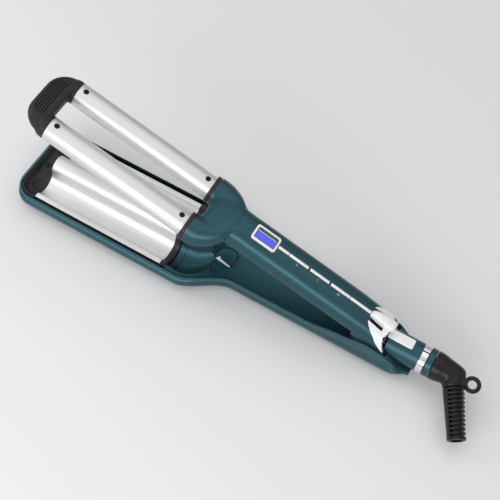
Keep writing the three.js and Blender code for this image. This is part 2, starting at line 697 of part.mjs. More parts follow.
// Each station holds its distance from the barrels' tips and its shares of width, top and bottom.
const BRIDGE_STATIONS = [
  { at: 2.8, half: 1, top: 1, bottom: 1 },
  { at: 6.5, half: 0.99, top: 1.02, bottom: 1 },
  { at: 11, half: 0.95, top: 0.97, bottom: 0.98 },
  { at: 15.5, half: 0.85, top: 0.85, bottom: 0.9 },
  { at: 19, half: 0.72, top: 0.7, bottom: 0.75 },
  { at: BRIDGE_NOSE, half: 0.58, top: 0.5, bottom: 0.55 },
  { at: BRIDGE_LENGTH, half: 0.46, top: 0.26, bottom: 0.3 },
];

// The bridge's rounded end on one barrel.
function barrelCap(y) {
  const start = -barrelTip - GAP;
  const shares = [[0, 1], [0.55, 1], [0.8, 0.93], [0.93, 0.8], [1, 0.55]];
  const rings = shares.map(([place, width]) => {
    const ring = [];
    for (let i = 0; i < 24; i += 1) {
      const angle = (i / 24) * Math.PI * 2;
      const reach = BARREL_RADIUS * width;
      const x = start - BRIDGE_CAP * place;
      ring.push(new THREE.Vector3(x, y + reach * Math.cos(angle), reach * Math.sin(angle)));
    }
    return ring;
  });
  return loft(rings);
}

function tipBridge() {
  const rings = BRIDGE_STATIONS.map(({ at, half, top, bottom }) => {
    const ring = [];
    for (let i = 0; i < SECTION_POINTS; i += 1) {
      const angle = (i / SECTION_POINTS) * Math.PI * 2;
      const [c, s] = [Math.cos(angle), Math.sin(angle)];
      const height = s > 0 ? BRIDGE_TOP * top : -BRIDGE_BOTTOM * bottom;
      const y = Math.sign(c) * BRIDGE_HALF_WIDTH * half * Math.abs(c) ** (2 / BRIDGE_POWER);
      const z = Math.sign(s) * height * Math.abs(s) ** (2 / BRIDGE_POWER);
      ring.push(new THREE.Vector3(-barrelTip - at, y, z));
    }
    return ring;
  });
  let bridge = loft(rings);
  for (const [, side] of SIDES) {
    const y = side * halfSpacing;
    const plugRadius = BARREL_RADIUS - BARREL_WALL - GAP;
    const plug = rodX(-barrelTip - 1, -barrelTip + BRIDGE_PLUG, plugRadius, y, 0, 24);
    const [holeFloor, holeAt] = [BARREL_RADIUS - SCREW_LENGTH - GAP, -barrelTip + SCREW_SETBACK];
    const screwHole = rodZ(holeFloor, REACH, SCREW_SHANK_RADIUS + GAP, holeAt, y, 8);
    bridge = cut(join(bridge, barrelCap(y), plug), screwHole);
  }
  for (let i = 0; i < GRIP_GROOVES; i += 1) {
    const at = barrelTip + BRIDGE_LENGTH - GRIP_SETBACK - i * GRIP_PITCH;
    const stations = BRIDGE_STATIONS.map((station) => [barrelTip + station.at, station.top * BRIDGE_TOP]);
    const floor = along(stations, at) - GRIP_DEPTH;
    const half = GRIP_HALF_LENGTH - (i === 0 ? GRIP_SHORTENING : 0);
    bridge = cut(bridge, block([-at - GRIP_GROOVE / 2, -half, floor], [-at + GRIP_GROOVE / 2, half, REACH]));
  }
  return bridge;
}

function displayBezel() {
  const bottom = HANDLE_TOP + BEZEL_PROUD - BEZEL_DEPTH;
  const outer = roundedOutline(DISPLAY_LENGTH, DISPLAY_WIDTH, DISPLAY_CORNER, -DISPLAY_CENTRE, 0, 4);
  const opening = roundedOutline(
    DISPLAY_LENGTH - 2 * BEZEL_RIM, DISPLAY_WIDTH - 2 * BEZEL_RIM, 1, -DISPLAY_CENTRE, 0, 2,
  );
  return cut(alongZ(outer, bottom, bottom + BEZEL_DEPTH), alongZ(opening, 0, REACH));
}

function displayWindow() {
  const top = HANDLE_TOP + BEZEL_PROUD - 0.4;
  const size = 2 * BEZEL_RIM + 2 * GAP;
  const outline = roundedOutline(DISPLAY_LENGTH - size, DISPLAY_WIDTH - size, 0.8, -DISPLAY_CENTRE, 0, 2);
  return alongZ(outline, top - WINDOW_DEPTH, top);
}

function displayModule() {
  const size = 2 * BEZEL_RIM + 2 * GAP;
  const top = HANDLE_TOP + BEZEL_PROUD - 0.4 - WINDOW_DEPTH - GAP;
  const [length, width] = [(DISPLAY_LENGTH - size) / 2, (DISPLAY_WIDTH - size) / 2];
  return block(
    [-DISPLAY_CENTRE - length, -width, BOARD_TOP + GAP], [-DISPLAY_CENTRE + length, width, top],
  );
}

function stripInlay([from, to]) {
  const top = HANDLE_TOP + STRIP_PROUD;
  return block([-from, -STRIP_WIDTH / 2, top - STRIP_DEPTH], [-to, STRIP_WIDTH / 2, top]);
}

// A long push bar with a hidden flange below the shell and a stem over its switch.
function button(number) {
  const centre = -buttonCentre(number);
  const top = HANDLE_TOP + STRIP_PROUD;
  const half = BUTTON_LENGTH / 2;
  const bar = block([centre - half, -STRIP_WIDTH / 2, buttonFoot], [centre + half, STRIP_WIDTH / 2, top]);
  const flange = block(
    [centre - half + 1, -BUTTON_FLANGE_WIDTH / 2, buttonFoot - BUTTON_FLANGE],
    [centre + half - 1, BUTTON_FLANGE_WIDTH / 2, buttonFoot + 0.4],
  );
  return join(bar, flange, rodZ(stemFoot, buttonFoot, 1.5, centre, 0, 12));
}

function tactSwitch(number) {
  const centre = -buttonCentre(number);
  const half = SWITCH_SIZE / 2;
  const base = block([centre - half, -half, BOARD_TOP + GAP], [centre + half, half, switchTop - 0.6]);
  return join(base, rodZ(BOARD_TOP + 1, switchTop, 1.7, centre, 0, 12));
}

function mainBoard() {
  return block(
    [-BOARD_FRONT, -BOARD_HALF_WIDTH, BOARD_TOP - BOARD_THICKNESS],
    [-BOARD_REAR, BOARD_HALF_WIDTH, BOARD_TOP],
  );
}

function coverScrew(at) {
  const seat = HANDLE_BOTTOM + COVER_SCREW_RECESS - 0.15;
  const head = rodZ(seat - 1, seat, COVER_SCREW_HEAD, -at, 0, 16);
  return join(head, rodZ(seat - 0.5, seat + COVER_SCREW_LENGTH - 2, SCREW_SHANK_RADIUS, -at, 0, 8));
}

// Lower shell: a bucket whose width, rim and floor change along the arm.
// Places on the lower arm are distances from the hinge towards the tip as well.

const RIM_STATIONS = [
  [-SHELL_REAR, -10.2], [-23, -9.4], [-11, -1], [-4, 3], [10, CHEEK_TOP], [30, 1.2], [62, RIM_HEIGHT],
  [HEAD_TIP, RIM_HEIGHT],
];
const WIDTH_STATIONS = [
  [-SHELL_REAR, 12.4], [-25, 13.2], [-20.5, 15.5], [-15, 17.3], [-4, LOWER_HALF_WIDTH],
  [WAIST - 2, LOWER_HALF_WIDTH], [HEAD_REAR - 2, HEAD_HALF_WIDTH],
];
const RIM_WIDTH_STATIONS = [
  [-SHELL_REAR, 12.4], [-24, 13.2], [-12, 15.2], [-6, 16.3], [2, CHEEK_INNER + 1.7], [24, CHEEK_INNER + 1.7],
  [50, LOWER_RIM_HALF_WIDTH], [WAIST - 2, LOWER_RIM_HALF_WIDTH], [HEAD_REAR - 2, HEAD_RIM_HALF_WIDTH],
];
const INNER_WIDTH_STATIONS = [
  [-SHELL_REAR, 11.6], [-14, 12], [-6, 14.8], [2, CHEEK_INNER], [28, CHEEK_INNER],
  [46, LOWER_RIM_HALF_WIDTH - WALL], [WAIST - 2, LOWER_RIM_HALF_WIDTH - WALL],
  [HEAD_REAR - 2, HEAD_RIM_HALF_WIDTH - WALL + 0.4],
];
const FLOOR_STATIONS = [
  [-SHELL_REAR, -12.2], [-25, -13.8], [-21, -18], [-16, floorHeight - 0.7], [HEAD_TIP, floorHeight - 0.7],
];
const FLARE_STEPS = 8;
const flarePlaces = Array.from({ length: FLARE_STEPS - 1 }, (_, i) =>
  THREE.MathUtils.lerp(WAIST - 2, HEAD_REAR, (i + 1) / FLARE_STEPS));
const BODY_PLACES = [
  -SHELL_REAR, -26.5, -24, -21, -18, -14, -10, -5, 0, 5, 12, 20, 30, 42, 54, WAIST - 2, ...flarePlaces,
  HEAD_REAR, HEAD_TIP - TIP_CORNER,
];
const TIP_STEPS = 4;

// Width and floor of the shell near the rounded tip, as shares of the corner.
function tipShare(step) {
  const angle = (step / TIP_STEPS) * (Math.PI / 2);
  return { forward: Math.sin(angle), aside: Math.cos(angle) };
}

function lowerRing(at, half, rimHalf, rim, floor, inset) {
  const ring = [];
  const steps = 12;
  const middle = Math.min(SIDE_HEIGHT, rim - 2);
  for (let i = 0; i <= steps; i += 1) {
    const angle = (i / steps) * Math.PI;
    const [c, s] = [Math.cos(angle), Math.sin(angle)];
    const y = Math.sign(c) * (half - inset) * Math.abs(c) ** (2 / SHELL_POWER);
    const drop = (middle - floor - inset) * Math.abs(s) ** (2 / SHELL_POWER);
    ring.push(new THREE.Vector3(-at, y, middle - drop));
  }
  const top = rim + (inset > 0 ? REACH / 4 : 0);
  for (const side of [-1, 1]) {
    const edge = side * (rimHalf - inset);
    const shoulder = new THREE.Vector3(-at, side * (half + rimHalf) / 2 - side * inset, (middle + rim) / 2);
    const corner = new THREE.Vector3(-at, edge, top);
    ring.push(...(side < 0 ? [shoulder, corner] : [corner, shoulder]));
  }
  return ring;
}

// The shell's outer shape, or its cavity less a spare distance.
function lowerSolid(inner, spare = 0) {
  const inset = inner ? WALL + spare : 0;
  const rings = BODY_PLACES.map((at) => {
    const room = along(INNER_WIDTH_STATIONS, at) + WALL;
    const half = inner ? room + (at > WAIST ? 2.2 : 0.4) : along(WIDTH_STATIONS, at);
    const rimHalf = inner ? room : along(RIM_WIDTH_STATIONS, at);
    return lowerRing(at, half, rimHalf, along(RIM_STATIONS, at), along(FLOOR_STATIONS, at), inset);
  });
  for (let step = 1; step <= TIP_STEPS; step += 1) {
    const { forward, aside } = tipShare(step);
    const corner = TIP_CORNER - inset;
    const drawn = corner * (1 - aside);
    const at = HEAD_TIP - TIP_CORNER + corner * forward;
    const floor = floorHeight - 0.7 + drawn * 0.62;
    const half = (inner ? HEAD_RIM_HALF_WIDTH + 2.6 : HEAD_HALF_WIDTH) - drawn;
    const rimHalf = (inner ? HEAD_RIM_HALF_WIDTH + 0.4 : HEAD_RIM_HALF_WIDTH) - drawn;
    rings.push(lowerRing(at, half, rimHalf, RIM_HEIGHT, floor, inset));
  }
  return loft(rings);
}

const SPRING_SEAT = 15;

const postOuter = lugInner - GAP;

function lowerShell() {
  const rear = block([SHELL_REAR - WALL - 1, -REACH, -REACH], [REACH, REACH, REACH]);
  const saddle = block([SADDLE_FRONT, -REACH, -STUB_RADIUS - GAP - WALL], [REACH, REACH, REACH]);
  let shell = cut(lowerSolid(false), cut(lowerSolid(true), rear, saddle));
  shell = cut(shell, block([-REACH * 5, -REACH, -REACH], [REACH, REACH, floorHeight]));
  const seatTop = LOWER_LEG_HEIGHT - SPRING_WIRE - GAP;
  shell = join(shell, block([-SPRING_SEAT - 1, -6.5, floorHeight + 1], [-SPRING_SEAT + 1, -2.5, seatTop]));
  for (const [, side] of SIDES) {
    const [a, b] = [side * (postOuter - POST_WIDTH), side * postOuter];
    const half = PIN_RADIUS + 2;
    const [from, to] = [Math.min(a, b), Math.max(a, b)];
    shell = join(shell, block([-half, from, floorHeight + 1], [STUB_FRONT - GAP, to, POST_RISE]));
  }
  shell = cut(shell, rodX(STUB_FRONT - GAP, REACH, STUB_RADIUS + GAP, 0, 0, 40));
  return cut(shell, rodY(-postOuter - 1, postOuter + 1, PIN_RADIUS + GAP / 2));
}

// The wave: two troughs that take the barrels, a ridge that goes between them, and an outer lip.
function waveCurve(offset) {
  const curve = [];
  const trough = TROUGH_RADIUS + offset;
  const ridge = RIDGE_RADIUS - offset;
  const lip = Math.asin(-(PLATE_LIP - offset) / trough);
  const steps = 12;
  for (let i = 0; i <= steps; i += 1) {
    const angle = Math.PI + lip + ((Math.PI - lip) * i) / steps;
    curve.push([-halfSpacing + trough * Math.cos(angle), trough * Math.sin(angle)]);
  }
  for (let i = 1; i < steps; i += 1) {
    const angle = Math.PI - (Math.PI * i) / steps;
    curve.push([ridge * Math.cos(angle), ridge * Math.sin(angle)]);
  }
  for (let i = 0; i <= steps; i += 1) {
    const angle = Math.PI + ((Math.PI - lip) * i) / steps;
    curve.push([halfSpacing + trough * Math.cos(angle), trough * Math.sin(angle)]);
  }
  return curve;
}

function wavePlate() {
  const upper = waveCurve(0);
  const lower = waveCurve(SHEET).reverse();
  const lipLow = PLATE_LIP - SHEET;
  const inner = PLATE_HALF_WIDTH - SHEET;
  const outline = [
    [-PLATE_HALF_WIDTH, PLATE_LIP - PLATE_FLANGE], [-PLATE_HALF_WIDTH, PLATE_LIP], ...upper,
    [PLATE_HALF_WIDTH, PLATE_LIP], [PLATE_HALF_WIDTH, PLATE_LIP - PLATE_FLANGE],
    [inner, PLATE_LIP - PLATE_FLANGE], [inner, lipLow], ...lower, [-inner, lipLow],
    [-inner, PLATE_LIP - PLATE_FLANGE],
  ];
  return alongX(outline, -PLATE_FRONT, -PLATE_REAR);
}

function rearInsulator() {
  const half = PLATE_HALF_WIDTH + 0.9;
  const outline = [[-half, INSULATOR_DEPTH + 4], [-half, PLATE_LIP], ...waveCurve(0), [half, PLATE_LIP],
    [half, INSULATOR_DEPTH + 4], [half - 4, INSULATOR_DEPTH], [4 - half, INSULATOR_DEPTH]];
  return alongX(outline, -PLATE_REAR + GAP, -PLATE_REAR + GAP + INSULATOR_WIDTH);
}

const troughUnderside = -TROUGH_RADIUS - SHEET;

function plateHeater(side) {
  const y = side * halfSpacing;
  const middle = -(PLATE_FRONT + PLATE_REAR) / 2;
  const top = troughUnderside - GAP;
  return block(
    [middle - PLATE_HEATER_LENGTH / 2, y - PLATE_HEATER_WIDTH / 2, top - PLATE_HEATER_THICKNESS],
    [middle + PLATE_HEATER_LENGTH / 2, y + PLATE_HEATER_WIDTH / 2, top],
  );
}

function heaterCarrier() {
  const top = troughUnderside - 2 * GAP - PLATE_HEATER_THICKNESS;
  const half = halfSpacing + PLATE_HEATER_WIDTH / 2;
  const middle = -(PLATE_FRONT + PLATE_REAR) / 2;
  const length = PLATE_HEATER_LENGTH / 2 + 4;
  return block([middle - length, -half, top - CARRIER_THICKNESS], [middle + length, half, top]);
}

function tipFrame() {
  const front = HEAD_TIP - 1.6;
  const back = PLATE_FRONT + GAP;
  const half = HEAD_RIM_HALF_WIDTH - WALL - 0.1;
  const corner = TIP_CORNER - 2;
  const outline = [[-back, -half], [-back, half]];
  for (const side of [1, -1]) {
    for (let i = 0; i <= 6; i += 1) {
      const angle = ((side > 0 ? i : 6 - i) / 6) * (Math.PI / 2);
      const y = side * (half - corner + corner * Math.cos(angle));
      outline.push([-front + corner - corner * Math.sin(angle), y]);
    }
  }
  let frame = alongZ(outline, TIP_DEPTH, TIP_DECK);
  frame = common(frame, lowerSolid(true, GAP));
  const dish = roundedOutline(
    2 * (front - TIP_RIM - back), 2 * (half - TIP_RIM), corner - TIP_RIM, -back, 0, 4,
  );
  frame = cut(frame, alongZ(dish, TIP_DISH, REACH));
  for (const [, side] of SIDES) {
    const y = side * halfSpacing;
    const ball = new THREE.SphereGeometry(TROUGH_RADIUS + 0.3, 20, 12);
    ball.translate(-back - 5, y, 0);
    frame = cut(frame, rodX(-back - 5, -back + 1, TROUGH_RADIUS + 0.3, y, 0, 20), solid(ball));
  }
  const recess = rodZ(TIP_DISH - 1.2, REACH, TIP_SCREW_HEAD + GAP, -tipScrewAt, 0, 16);
  return cut(frame, recess, rodZ(TIP_DEPTH + 2, REACH, SCREW_SHANK_RADIUS + GAP, -tipScrewAt, 0, 8));
}

function tipFrameScrew() {
  const seat = TIP_DISH - 1;
  const disc = rodZ(seat, seat + 1.2, TIP_SCREW_HEAD, -tipScrewAt, 0, 16);
  const head = cut(disc, rodZ(seat + 0.6, REACH, 0.8, -tipScrewAt, 0, 6));
  return join(head, rodZ(seat - 3.5, seat + 0.3, SCREW_SHANK_RADIUS, -tipScrewAt, 0, 8));
}

const coverFront = PLATE_REAR - 2 * GAP - INSULATOR_WIDTH;

function innerCover() {
  const between = BODY_PLACES.filter((at) => at > COVER_REAR && at < HEAD_REAR).reverse();
  const low = COVER_TOP - COVER_THICKNESS;
  const rings = [coverFront, HEAD_REAR, ...between, COVER_REAR].map((at) => {
    const half = along(INNER_WIDTH_STATIONS, at) - GAP;
    const corners = [[half, COVER_TOP], [-half, COVER_TOP], [-half, low], [half, low]];
    return corners.map(([y, z]) => new THREE.Vector3(-at, y, z));
  });
  const collarRoom = BARREL_RADIUS + COLLAR_PROUD + SHUT_GAP;
  const bed = (side, growth, start) => join(
    socket(side, SHUT_GAP + 0.2 + growth),
    rodX(start, -yokeFront + 0.5, collarRoom + growth, side * halfSpacing, 0, 28),
  );
  const below = block([-coverFront + 0.5, -REACH, -REACH], [-WAIST, REACH, COVER_TOP - 0.5]);
  const tubs = SIDES.map(([, side]) => common(below, bed(side, WALL, -coverFront)));
  const scoops = SIDES.map(([, side]) => bed(side, 0, -coverFront - 1));
  let cover = cut(join(loft(rings), ...tubs), ...scoops);
  cover = cut(cover, rodZ(COVER_TOP - DIAL_RECESS, REACH, DIAL_RADIUS + 0.4, -DIAL_CENTRE, 0, 32));
  cover = cut(cover, rodZ(-REACH, REACH, DIAL_SPINDLE_RADIUS + GAP, -DIAL_CENTRE, 0, 16));
  for (const at of COVER_FASTENERS) {
    const hole = rodZ(-REACH, REACH, SCREW_SHANK_RADIUS + GAP, -at, COVER_FASTENER_SIDE, 8);
    const recess = rodZ(COVER_TOP - 1.6, REACH, COVER_FASTENER_HEAD + GAP, -at, COVER_FASTENER_SIDE, 16);
    cover = cut(cover, hole, recess);
  }
  return cover;
}

const COVER_FASTENERS = [DIAL_CENTRE - 35, 44];
const COVER_FASTENER_SIDE = 9; // towards the far side, where the handle hides them
const COVER_FASTENER_HEAD = 2.1;

function innerCoverScrew(at) {
  const seat = COVER_TOP - 1.45;
  const head = rodZ(seat, seat + 1.3, COVER_FASTENER_HEAD, -at, COVER_FASTENER_SIDE, 16);
  return join(head, rodZ(seat - 5, seat + 0.3, SCREW_SHANK_RADIUS, -at, COVER_FASTENER_SIDE, 8));
}

// A flat knob with a raised square grip; its spindle carries the stop cam below the cover.
function depthDial() {
  const bottom = COVER_TOP - DIAL_RECESS + GAP;
  const top = bottom + DIAL_THICKNESS;
  const half = DIAL_GRIP / 2;
  const disc = rodZ(bottom, top, DIAL_RADIUS, -DIAL_CENTRE, 0, 32);
  const outline = [[-half + 1, -half * 0.55], [half, -half], [half, half], [-half + 1, half * 0.55]];
  const placed = outline.map(([x, y]) => [x - DIAL_CENTRE + 1.5, y]);
  const grip = alongZ(placed, top - 0.3, top + DIAL_GRIP_HEIGHT);
  const coverBottom = COVER_TOP - COVER_THICKNESS;
  const spindle = rodZ(coverBottom - 2.5, bottom + 0.2, DIAL_SPINDLE_RADIUS, -DIAL_CENTRE, 0, 16);
  const cam = rodZ(coverBottom - 2.5, coverBottom - GAP, DIAL_CAM_RADIUS, -DIAL_CENTRE + 1.5, 0, 16);
  const [x, y] = POINTER_PIN;
  const pinHole = rodZ(top - 0.8, REACH, POINTER_PIN_RADIUS + GAP, x - DIAL_CENTRE, y, 12);
  return cut(join(disc, grip, spindle, cam), pinHole);
}

// The bright arrow that lies on the disc beside the grip, from the dial's centre.
const POINTER_OUTLINE = [[-7.3, -4.9], [6.2, -6.6], [6.5, -6], [-3.7, -3.5], [-5.4, -1.6]];
const POINTER_PIN = [-5.3, -3.7];

function dialPointer() {
  const top = COVER_TOP - DIAL_RECESS + GAP + DIAL_THICKNESS;
  const placed = POINTER_OUTLINE.map(([x, y]) => [x - DIAL_CENTRE, y]);
  const [x, y] = POINTER_PIN;
  const pin = rodZ(top - 0.5, top + 0.5, POINTER_PIN_RADIUS, x - DIAL_CENTRE, y, 12);
  return join(alongZ(placed, top + GAP, top + POINTER_RISE), pin);
}

function hingePin() {
  return rodY(-PIN_LENGTH / 2, PIN_LENGTH / 2, PIN_RADIUS);
}

// The torsion spring, drawn wound up as it is with the arms shut.
function hingeSpring() {
  const steps = 8;
  const path = [];
  const start = (-(SPRING_TURNS + 0.5) * SPRING_PITCH) / 2;
  path.push([-SPRING_LEG, start, LOWER_LEG_HEIGHT], [-SPRING_LEG / 2, start, LOWER_LEG_HEIGHT + 0.4]);
  const total = SPRING_TURNS * steps + steps / 2;
  for (let i = 0; i <= total; i += 1) {
    const angle = -Math.PI / 2 + (i / steps) * Math.PI * 2;
    path.push([
      SPRING_RADIUS * Math.cos(angle), start + (SPRING_PITCH * i) / steps, SPRING_RADIUS * Math.sin(angle),
    ]);
  }
  const legTop = HANDLE_BOTTOM - GAP - SPRING_WIRE;
  path.push([-SPRING_LEG / 2, -start, legTop], [-SPRING_LEG, -start, legTop]);
  const points = path.map((point) => new THREE.Vector3(...point));
  console.log(`hinge_spring least gap to itself ${leastGap(points, steps).toFixed(2)} mm`);
  const rings = points.map((point, i) => {
    const [before, after] = [points[Math.max(i - 1, 0)], points[Math.min(i + 1, points.length - 1)]];
    const ahead = after.clone().sub(before).normalize();
    const across = new THREE.Vector3(0, 1, 0).cross(ahead).normalize();
    const up = ahead.clone().cross(across);
    return [0, 1, 2, 3, 4].map((j) => {
      const angle = (j / 5) * Math.PI * 2;
      const offset = across.clone().multiplyScalar(Math.cos(angle)).addScaledVector(up, Math.sin(angle));
      return point.clone().addScaledVector(offset, SPRING_WIRE);
    });
  });
  return loft(rings);
}

// The clear distance between the spring's turns, measured on its path half a turn or more apart.
function leastGap(points, steps) {
  let least = Infinity;
  for (let i = 0; i < points.length; i += 1) {
    for (let j = i + steps / 2; j < points.length; j += 1) {
      least = Math.min(least, points[i].distanceTo(points[j]));
    }
  }
  return least - 2 * SPRING_WIRE;
}

// Rear stub: a tube with a spigot that carries the two rings and turns the cord boot.

const spigotStart = RING_CENTRE - CHROME_RING_WIDTH / 2 - GAP;
const tealRingStart = RING_CENTRE + CHROME_RING_WIDTH / 2 + GAP;
const spigotEnd = tealRingStart + TEAL_RING_WIDTH;
const bootStart = spigotEnd + GAP;
const lockHeight = STUB_RADIUS + GAP;
const lockWebFront = LOCK_FRONT + 9;

function rearStub() {
  const wallEnd = spigotEnd - 2.6;
  let stub = join(
    rodX(STUB_FRONT, spigotStart, STUB_RADIUS, 0, 0, 40),
    rodX(spigotStart - 1, spigotEnd, SPIGOT_RADIUS, 0, 0, 32),
  );
  stub = cut(
    stub,
    rodX(0, spigotStart - 2, STUB_RADIUS - WALL, 0, 0, 32),
    rodX(spigotStart - 3, wallEnd, SPIGOT_RADIUS - WALL, 0, 0, 32),
    rodX(0, REACH, SHAFT_RADIUS + RUNNING + 0.15, 0, 0, 32),
    block(
      [lockWebFront - LOCK_TRAVEL - 2 * GAP, -LOCK_WEB / 2 - GAP, 0],
      [lockWebFront + LOCK_WEB_LENGTH + GAP, LOCK_WEB / 2 + GAP, REACH],
    ),
  );
  return stub;
}

function splitRing(radius, from, to) {
  const ring = cut(rodX(from, to, radius, 0, 0, 40), rodX(0, REACH, SPIGOT_RADIUS + GAP, 0, 0, 32));
  return cut(ring, block([from - 1, -RING_SPLIT / 2, 0], [to + 1, RING_SPLIT / 2, REACH]));
}

function tealRing() {
  const ring = rodX(tealRingStart, spigotEnd, TEAL_RING_RADIUS, 0, 0, 40);
  return cut(ring, rodX(0, REACH, SPIGOT_RADIUS + GAP, 0, 0, 32));
}

function lockSlide() {
  const back = LOCK_FRONT + LOCK_LENGTH;
  const outline = roundedOutline(LOCK_LENGTH, LOCK_WIDTH, 0.8, (LOCK_FRONT + back) / 2, 0, 2);
  let plate = alongZ(outline, lockHeight, lockHeight + LOCK_THICKNESS);
  for (let i = 0; i < 2; i += 1) {
    const at = back - 3.2 - i * 1.8;
    const floor = lockHeight + LOCK_THICKNESS - 0.4;
    plate = cut(plate, block([at - 0.4, -LOCK_WIDTH / 2 + 1, floor], [at + 0.4, LOCK_WIDTH / 2 - 1, REACH]));
  }
  const footTop = Math.sqrt((STUB_RADIUS - WALL) ** 2 - (LOCK_FOOT / 2) ** 2) - GAP;
  const web = block(
    [lockWebFront, -LOCK_WEB / 2, footTop - 0.5],
    [lockWebFront + LOCK_WEB_LENGTH, LOCK_WEB / 2, lockHeight + 0.2],
  );
  const foot = block(
    [lockWebFront, -LOCK_FOOT / 2, footTop - 1.4], [lockWebFront + LOCK_WEB_LENGTH, LOCK_FOOT / 2, footTop],
  );
  return join(plate, web, foot);
}

const CONTACT_PLACES = [[26, "live"], [31, "neutral"]];
const CONTACT_WIDTH = 2.4;
const CONTACT_RADIUS = 6.6;
const SHAFT_FRONT = 23; // front end of the swivel's shaft

function contactBrush(at, side) {
  const [a, b] = [side * (CONTACT_RADIUS + GAP), side * (SPIGOT_RADIUS - WALL - GAP)];
  const [from, to] = [Math.min(a, b), Math.max(a, b)];
  return block([at + 0.3, from, -1.5], [at + CONTACT_WIDTH - 0.3, to, 1.5]);
}

function contactRing(at) {
  const ring = rodX(at, at + CONTACT_WIDTH, CONTACT_RADIUS, 0, 0, 24);
  return cut(ring, rodX(0, REACH, SHAFT_RADIUS - 0.6 + GAP, 0, 0, 24));
}

function swivelShaft() {
  const wall = spigotEnd - 2.6;
  const shaft = join(
    rodX(SHAFT_FRONT, wall - 2, SHAFT_RADIUS - 0.6, 0, 0, 24),
    rodX(wall - 2.2, bootStart + 8, SHAFT_RADIUS, 0, 0, 24),
    rodX(wall - 2.2, wall - GAP, SPIGOT_RADIUS - WALL - GAP, 0, 0, 24),
  );
  return cut(shaft, rodX(0, REACH, SHAFT_BORE, 0, 0, 16));
}

// The direction in which the strain relief leaves the boot.
const reliefDirection = new THREE.Vector3(
  Math.cos(RELIEF_ANGLE),
  Math.sin(RELIEF_ANGLE) * Math.cos(RELIEF_DROOP),
  Math.sin(RELIEF_ANGLE) * Math.sin(RELIEF_DROOP),
).normalize();

function onRelief(distance) {
  return [ELBOW + reliefDirection.x * distance, reliefDirection.y * distance, reliefDirection.z * distance];
}

function swivelBoot() {
  const body = turned([
    [bootStart, 0], [bootStart, BOOT_RADIUS], [bootStart + 4, BOOT_RADIUS + 0.1], [ELBOW - 6, 10.2],
    [ELBOW + 2, 8.9], [BOOT_END - 3.4, 7.6], [BOOT_END - 1, 5], [BOOT_END, 2.4], [BOOT_END, 0],
  ], 20);
  const neck = rod(onRelief(-1), onRelief(NECK_LENGTH), NECK_RADIUS + 0.5, 20, NECK_RADIUS);
  const tilt = new THREE.Matrix4().makeRotationX(RELIEF_DROOP);
  const disc = new THREE.CylinderGeometry(LOOP_RADIUS, LOOP_RADIUS, LOOP_THICKNESS, 24);
  disc.rotateX(Math.PI / 2).translate(LOOP_CENTRE, 0, 0).applyMatrix4(tilt);
  const web = new THREE.BoxGeometry(6, 6, LOOP_THICKNESS).translate(BOOT_END - 0.5, 0, 0).applyMatrix4(tilt);
  const hole = new THREE.CylinderGeometry(LOOP_HOLE, LOOP_HOLE, REACH, 20);
  hole.rotateX(Math.PI / 2).translate(LOOP_CENTRE, 0, 0).applyMatrix4(tilt);
  return cut(
    join(body, neck, solid(disc), solid(web)),
    solid(hole),
    rodX(0, bootStart + 8 + GAP, SHAFT_RADIUS + GAP, 0, 0, 24),
    rodX(0, ELBOW + 1, CABLE_RADIUS, 0, 0, 16),
    rod(onRelief(0), onRelief(REACH), CABLE_RADIUS, 16),
    rod(onRelief(NECK_LENGTH - 5), onRelief(REACH), SPIGOT_ROOT + GAP, 20),
  );
}

const SPIGOT_ROOT = 5.6;

// A tapering grommet with a groove between each two ribs and an open bore for the cord.
function strainRelief() {
  const start = NECK_LENGTH + GAP;
  const radiusAt = (distance) =>
    THREE.MathUtils.mapLinear(distance, start, RELIEF_END, RELIEF_RADIUS, RELIEF_TIP_RADIUS);
  const root = NECK_LENGTH - 4.5;
  const profile = [[root, 0], [root, SPIGOT_ROOT], [start, SPIGOT_ROOT], [start, radiusAt(start)]];
  for (let i = 0; i < RELIEF_RIBS; i += 1) {
    const at = start + 1.6 + i * RELIEF_PITCH;
    const inner = radiusAt(at) - RELIEF_GROOVE_DEPTH;
    const end = at + RELIEF_GROOVE;
    profile.push([at, radiusAt(at)], [at + 0.25, inner], [end - 0.25, inner], [end, radiusAt(end)]);
  }
  profile.push([RELIEF_END - 1, RELIEF_TIP_RADIUS], [RELIEF_END, RELIEF_TIP_RADIUS - 1], [RELIEF_END, 0]);
  const points = profile.map(([distance, radius]) => new THREE.Vector2(radius, distance));
  const lathe = new THREE.LatheGeometry(points, 12);
  const turn = new THREE.Quaternion().setFromUnitVectors(new THREE.Vector3(0, 1, 0), reliefDirection);
  lathe.applyQuaternion(turn).translate(ELBOW, 0, 0);
  return cut(
    solid(lathe),
    rod(onRelief(0), onRelief(REACH), CABLE_RADIUS, 16),
    rod(onRelief(RELIEF_END - 2.5), onRelief(REACH), CABLE_RADIUS + 1.8, 16),
  );
}

// Finishes

const finish = (color, roughness, metalness) =>
  new THREE.MeshStandardMaterial({ color, roughness, metalness });
const FINISHES = {
  teal: finish("#2a5a66", 0.36, 0.55),
  tealInner: finish("#1d4650", 0.45, 0.4),
  black: finish("#2b2b2e", 0.55, 0.05),
  collar: finish("#2c2226", 0.5, 0.05),
  satin: finish("#e4e4e4", 0.3, 0.75),
  chrome: finish("#f0eef0", 0.12, 0.95),
  white: finish("#ece8ec", 0.25, 0.35),
  display: finish("#3b46e8", 0.15, 0),
  screw: finish("#141416", 0.4, 0.6),
  steel: finish("#b9bdc2", 0.3, 0.9),
  brass: finish("#c9a24a", 0.3, 0.9),
  ceramic: finish("#e9e2d2", 0.7, 0),
  board: finish("#1f6b3a", 0.6, 0),
};

// Triangles that still have three different corners.
function withoutCollapsed(corners) {
  const kept = [];
  for (let i = 0; i < corners.length; i += 3) {
    const [a, b, c] = corners.slice(i, i + 3);
    if (a !== b && b !== c && c !== a) kept.push(a, b, c);
  }
  return kept;
}

